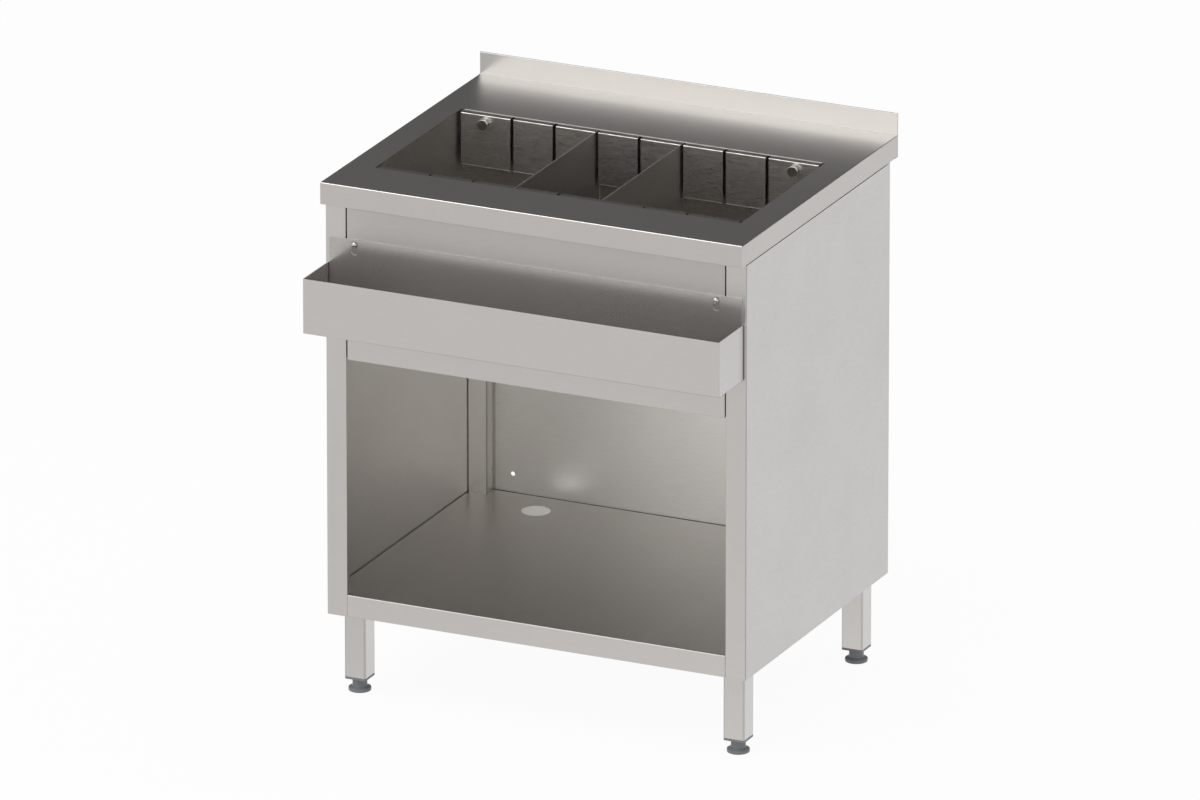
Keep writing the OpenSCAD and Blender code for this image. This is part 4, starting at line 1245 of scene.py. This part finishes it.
@dataclass
class BottleRail:
    """Open trough with end walls, a back plate with two keyholes, and its two domed bolts.

    Attributes:
        sheet, radius: thickness of the sheet, and outer radius of its folds.
        back_height: height of the back plate above the trough's rim.
        corner, corner_gap: radius where an end wall folds from the back plate, and what it leaves of it.
        bolt: a bolt's distance from the middle, and its height.
        lift: from the keyholes' round entries up to the bolts.
        slot, entry: width of a keyhole's slot and of its entry.
        head, head_height: radius and height of a bolt's domed head.
        shoulder, shoulder_end: radius of its shoulder, and where that ends.
        thread: radius of its thread.
        head_shade_ring: radius at which the head's outer ring of painted shade starts.
    """

    sheet: float = 0.0012
    radius: float = 0.002
    back_height: float = 0.048
    corner: float = 0.0025
    corner_gap: float = 0.00002
    bolt: Point = (0.343, 0.8385)
    lift: float = 0.0125
    slot: float = 0.0066
    entry: float = 0.013
    head: float = 0.006
    head_height: float = 0.005
    shoulder: float = 0.003
    shoulder_end: float = 0.0077
    thread: float = 0.0025
    head_shade_ring: float = 0.0044

    def build(self) -> None:
        """Builds the rail and its bolts."""
        self._trough()
        self._back()
        self._ends()
        self._bolts()

    def _trough(self) -> None:
        """Builds the front, the floor and the fold below the back plate."""
        low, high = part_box("speed_rail")
        # painted shade: the inside takes a darkened copy of the steel
        piece = Piece("rail_trough", "steel_front", "cabinet_steel", ("speed_rail",), sheet=-self.sheet,
                      inside="steel_trough_painted_shade")
        corners = ((low.y, high.z - self.back_height), (low.y, low.z), (high.y, low.z),
                   (high.y, low.z + 2 * self.radius))
        FoldedSheet(corners, Axis.X, (low.x, high.x), (self.radius, self.radius)).add_to(piece.bm)
        plate = high.x - self.corner
        for x in (-plate, plate):
            cut_at(piece.bm, Axis.X, x)
        middles = {face: face.calc_center_median() for face in piece.bm.faces}
        gone = [face for face, at in middles.items() if abs(at.x) > plate and at.y > high.y - self.radius]
        bmesh.ops.delete(piece.bm, geom=gone, context="FACES")
        piece.finish_up()

    def _back(self) -> None:
        """Builds the back plate with its keyholes."""
        low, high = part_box("speed_rail")
        # painted shade: the plate's front takes a darkened copy of the steel
        piece = Piece("rail_back", "steel_front", "cabinet_steel", ("speed_rail",), sheet=-self.sheet,
                      inside="steel_plate_painted_shade")
        plate = high.x - self.corner
        corners = rectangle((-plate, low.z + 2 * self.radius), (plate, high.z))
        rim = loop_of(piece.bm, corners, Axis.Y, high.y)
        holes = [loop_of(piece.bm, self._keyhole(sign * self.bolt[0]), Axis.Y, high.y)
                 for sign in SIDES.values()]
        fill_outline(piece.bm, (rim, *holes), -Axis.Y.unit)
        piece.finish_up()

    def _keyhole(self, middle: float) -> list[Point]:
        """Lists the outline of a keyhole: a slot above a round entry.

        Args:
            middle: the keyhole's place along X.

        Returns:
            Its points as (X, Z).
        """
        slot, entry = self.slot / 2, self.entry / 2
        top, bottom = self.bolt[1], self.bolt[1] - self.lift
        half = math.asin(slot / entry)
        return [*arc((middle, top), slot, 0.0, math.pi, steps=12),
                *arc((middle, bottom), entry, math.pi / 2 + half, math.pi * 5 / 2 - half, steps=32)]

    def _ends(self) -> None:
        """Builds the end walls, each folded from the back plate."""
        low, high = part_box("speed_rail")
        inset = self.sheet / 2
        for side, sign in SIDES.items():
            outer = sign * high.x
            # painted shade: the inside takes a darkened copy of the steel and the rear fold a near-black
            # steel; painted highlight: the cut edges take a brightened steel
            piece = Piece("rail_end_" + side, "steel_side", "cabinet_steel", ("speed_rail",),
                          sheet=-sign * self.sheet, inside="steel_trough_painted_shade", cut="steel_cut_painted_highlight",
                          extra=("steel_painted_shade",))
            corners = ((outer, low.y + inset), (outer, high.y), (outer - sign * self.corner, high.y))
            FoldedSheet(corners, Axis.Z, (low.z + inset, high.z - self.back_height),
                        (self.corner - self.corner_gap,), FIRST_EXTRA).add_to(piece.bm)
            piece.finish_up()

    def _bolts(self) -> None:
        """Turns the two domed shoulder bolts."""
        low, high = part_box("rail_bolts")
        along, level = self.bolt
        length = high.y - low.y
        dome = (self.head ** 2 + self.head_height ** 2) / (2 * self.head_height)
        rim, pole = math.asin(self.head / dome) - math.pi / 2, -math.pi / 2
        profile = [(0.0, length), (self.thread, length), (self.thread, self.shoulder_end),
                   (self.shoulder, self.shoulder_end), (self.shoulder, self.head_height),
                   *arc((0.0, dome), dome, rim, pole, steps=10)]
        piece = Piece("hanging_bolts", "steel_domed", "fastener_steel", ("rail_bolts",), edge=None,
                      extra=("steel_bend_painted_shade",))
        for sign in SIDES.values():
            add_turned(piece.bm, profile, Vector((sign * along, low.y, level)), Axis.Y.unit, steps=48)
        # painted shade: outside this ring the head takes a darkened steel
        piece.mark(FIRST_EXTRA, lambda at, _: math.hypot(abs(at.x) - along, at.z - level) > self.head_shade_ring)
        piece.finish_up()


@dataclass
class BinFittings:
    """The bin's comb racks, buttons and dividers.

    Attributes:
        rack_sheet, rack_radius: thickness of a rack's sheet, and outer radius of its folds.
        lip: depth of the lip folded back along a rack's lower edge.
        slot, pitch, slots: width, spacing and number of a rack's slots.
        strip: depth of the strip that joins the teeth along the wall.
        button: a button's distance from the middle, its radius and its length.
        button_edge, button_seat: radius of a button's edge, and the gap behind it.
        divider_corner: radius of a divider's corners.
    """

    rack_sheet: float = 0.0015
    rack_radius: float = 0.0018
    lip: float = 0.008
    slot: float = 0.006
    pitch: float = 0.08125
    slots: int = 7
    strip: float = 0.0025
    button: Place = (0.296, 0.010, 0.010)
    button_edge: float = 0.001
    button_seat: float = 0.0005
    divider_corner: float = 0.002

    def build(self) -> None:
        """Builds what stands in the bin."""
        self._racks()
        self._buttons()
        self._dividers()

    def _racks(self) -> None:
        """Builds the front and rear racks: teeth with folded tops, joined by a strip."""
        for place, sign in (("front", -1), ("rear", 1)):
            node = "rack_" + place
            low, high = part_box(node)
            face, wall = (low.y, high.y) if sign > 0 else (high.y, low.y)
            # painted shade: the back, the cut edges and the slots' walls take a near-black steel; painted
            # highlight: the lower fold takes a brightened steel
            piece = Piece("comb_" + place, "steel_rack", "bin_steel", (node,), sheet=sign * self.rack_sheet,
                          inside="steel_painted_shade", cut="steel_painted_shade", extra=("steel_rim_painted_highlight",))
            cut = wall - sign * self.strip
            corners = ((face + sign * self.lip, low.z), (face, low.z), (face, high.z), (cut, high.z),
                       (wall, high.z))
            middles = [(k - (self.slots - 1) / 2) * self.pitch for k in range(self.slots)]
            starts = [low.x] + [x + self.slot / 2 for x in middles]
            ends = [x - self.slot / 2 for x in middles] + [high.x]
            for span in zip(starts, ends):
                FoldedSheet(corners, Axis.X, span, (self.rack_radius, self.rack_radius)).add_to(piece.bm)
            for x in middles:
                FoldedSheet(corners[-2:], Axis.X, (x - self.slot / 2, x + self.slot / 2)).add_to(piece.bm)
            # painted highlight on the lower fold
            piece.mark(FIRST_EXTRA, lambda at, _: at.z < low.z + self.rack_radius)
            piece.finish_up()

    def _buttons(self) -> None:
        """Turns the four buttons."""
        low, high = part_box("rack_buttons")
        along, radius, length = self.button
        edge, seat = self.button_edge, self.button_seat
        piece = Piece("buttons", "steel_turned", "fastener_steel", ("rack_buttons",), edge=None)
        bend = arc((radius - edge, length - edge), edge, 0.0, math.pi / 2, steps=6)
        profile = [(0.0, seat), (radius - seat, seat), *bend, (0.0, length)]
        walls = ((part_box("rack_rear")[0].y, -Axis.Y.unit), (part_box("rack_front")[1].y, Axis.Y.unit))
        for wall, way in walls:
            for sign in SIDES.values():
                centre = Vector((sign * along, wall, (low.z + high.z) / 2))
                add_turned(piece.bm, profile, centre, way, steps=64)
        piece.finish_up()

    def _dividers(self) -> None:
        """Builds the two loose divider plates."""
        for side in SIDES:
            node = "divider_" + side
            piece = Piece("plate_" + side, "steel_divider", "bin_steel", (node,), extra=("steel_cut_painted_highlight",))
            verts = add_block(piece.bm, *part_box(node))
            # painted highlight: the top faces take a brightened steel
            piece.mark(FIRST_EXTRA, lambda _, normal: normal.z > FACING)
            round_edges(piece.bm, edges_along(verts, Axis.X), self.divider_corner, steps=4)
            piece.finish_up()


def dress_nodes() -> None:
    """Gives every node of the frame its finish, also those that a piece stands for."""
    dressed = {
        "chipboard": ("worktop_board_front", "worktop_board_rear"),
        "zinc": ("worktop_bearer_left", "worktop_bearer_right", "worktop_bolts", "worktop_nuts", "leg_bolts",
                 "leg_nuts", "rail_nuts", "shelf_stiffener_front", "shelf_stiffener_rear",
                 *("foot_stud_" + corner for corner in CORNERS)),
        "steel_side": ("side_panel_left", "side_panel_right"),
        "steel_front": ("front_panel", "speed_rail"),
        # painted shade: a darkened copy of the steel
        "steel_inside_painted_shade": ("rear_panel", "bottom_shelf"),
        "steel_upright": ("rear_post_left", "rear_post_right", *("leg_" + corner for corner in CORNERS)),
        "steel_bin": ("ice_bin", "rack_front", "rack_rear"),
        "foam": ("bin_foam",),
        "zinc_dull": ("bin_jacket",),
        "steel_turned": ("drain_body", "drain_strainer", "drain_nut", "rack_studs", "rack_buttons",
                         "rail_bolts"),
        "rubber_black": ("drain_gasket",),
        "steel_divider": ("divider_left", "divider_right"),
        # painted light: a brightened copy of the steel
        "steel_worktop_painted_light": ("worktop",),
        "plastic_grey": tuple(kind + corner for corner in CORNERS for kind in ("leg_plug_", "foot_")),
    }
    for finish, nodes in dressed.items():
        for node in nodes:
            slots = frame["nodes"][node].data.materials
            slots.clear()
            slots.append(material_of(finish))


def main() -> None:
    """Builds the studio and the station."""
    logging.basicConfig(level=logging.INFO, format="%(message)s")
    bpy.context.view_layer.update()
    Studio().build()
    dress_nodes()
    for part in (Worktop(), Cabinet(), Shelf(), Legs(), BottleRail(), BinFittings()):
        part.build()


if __name__ == "__main__":
    main()
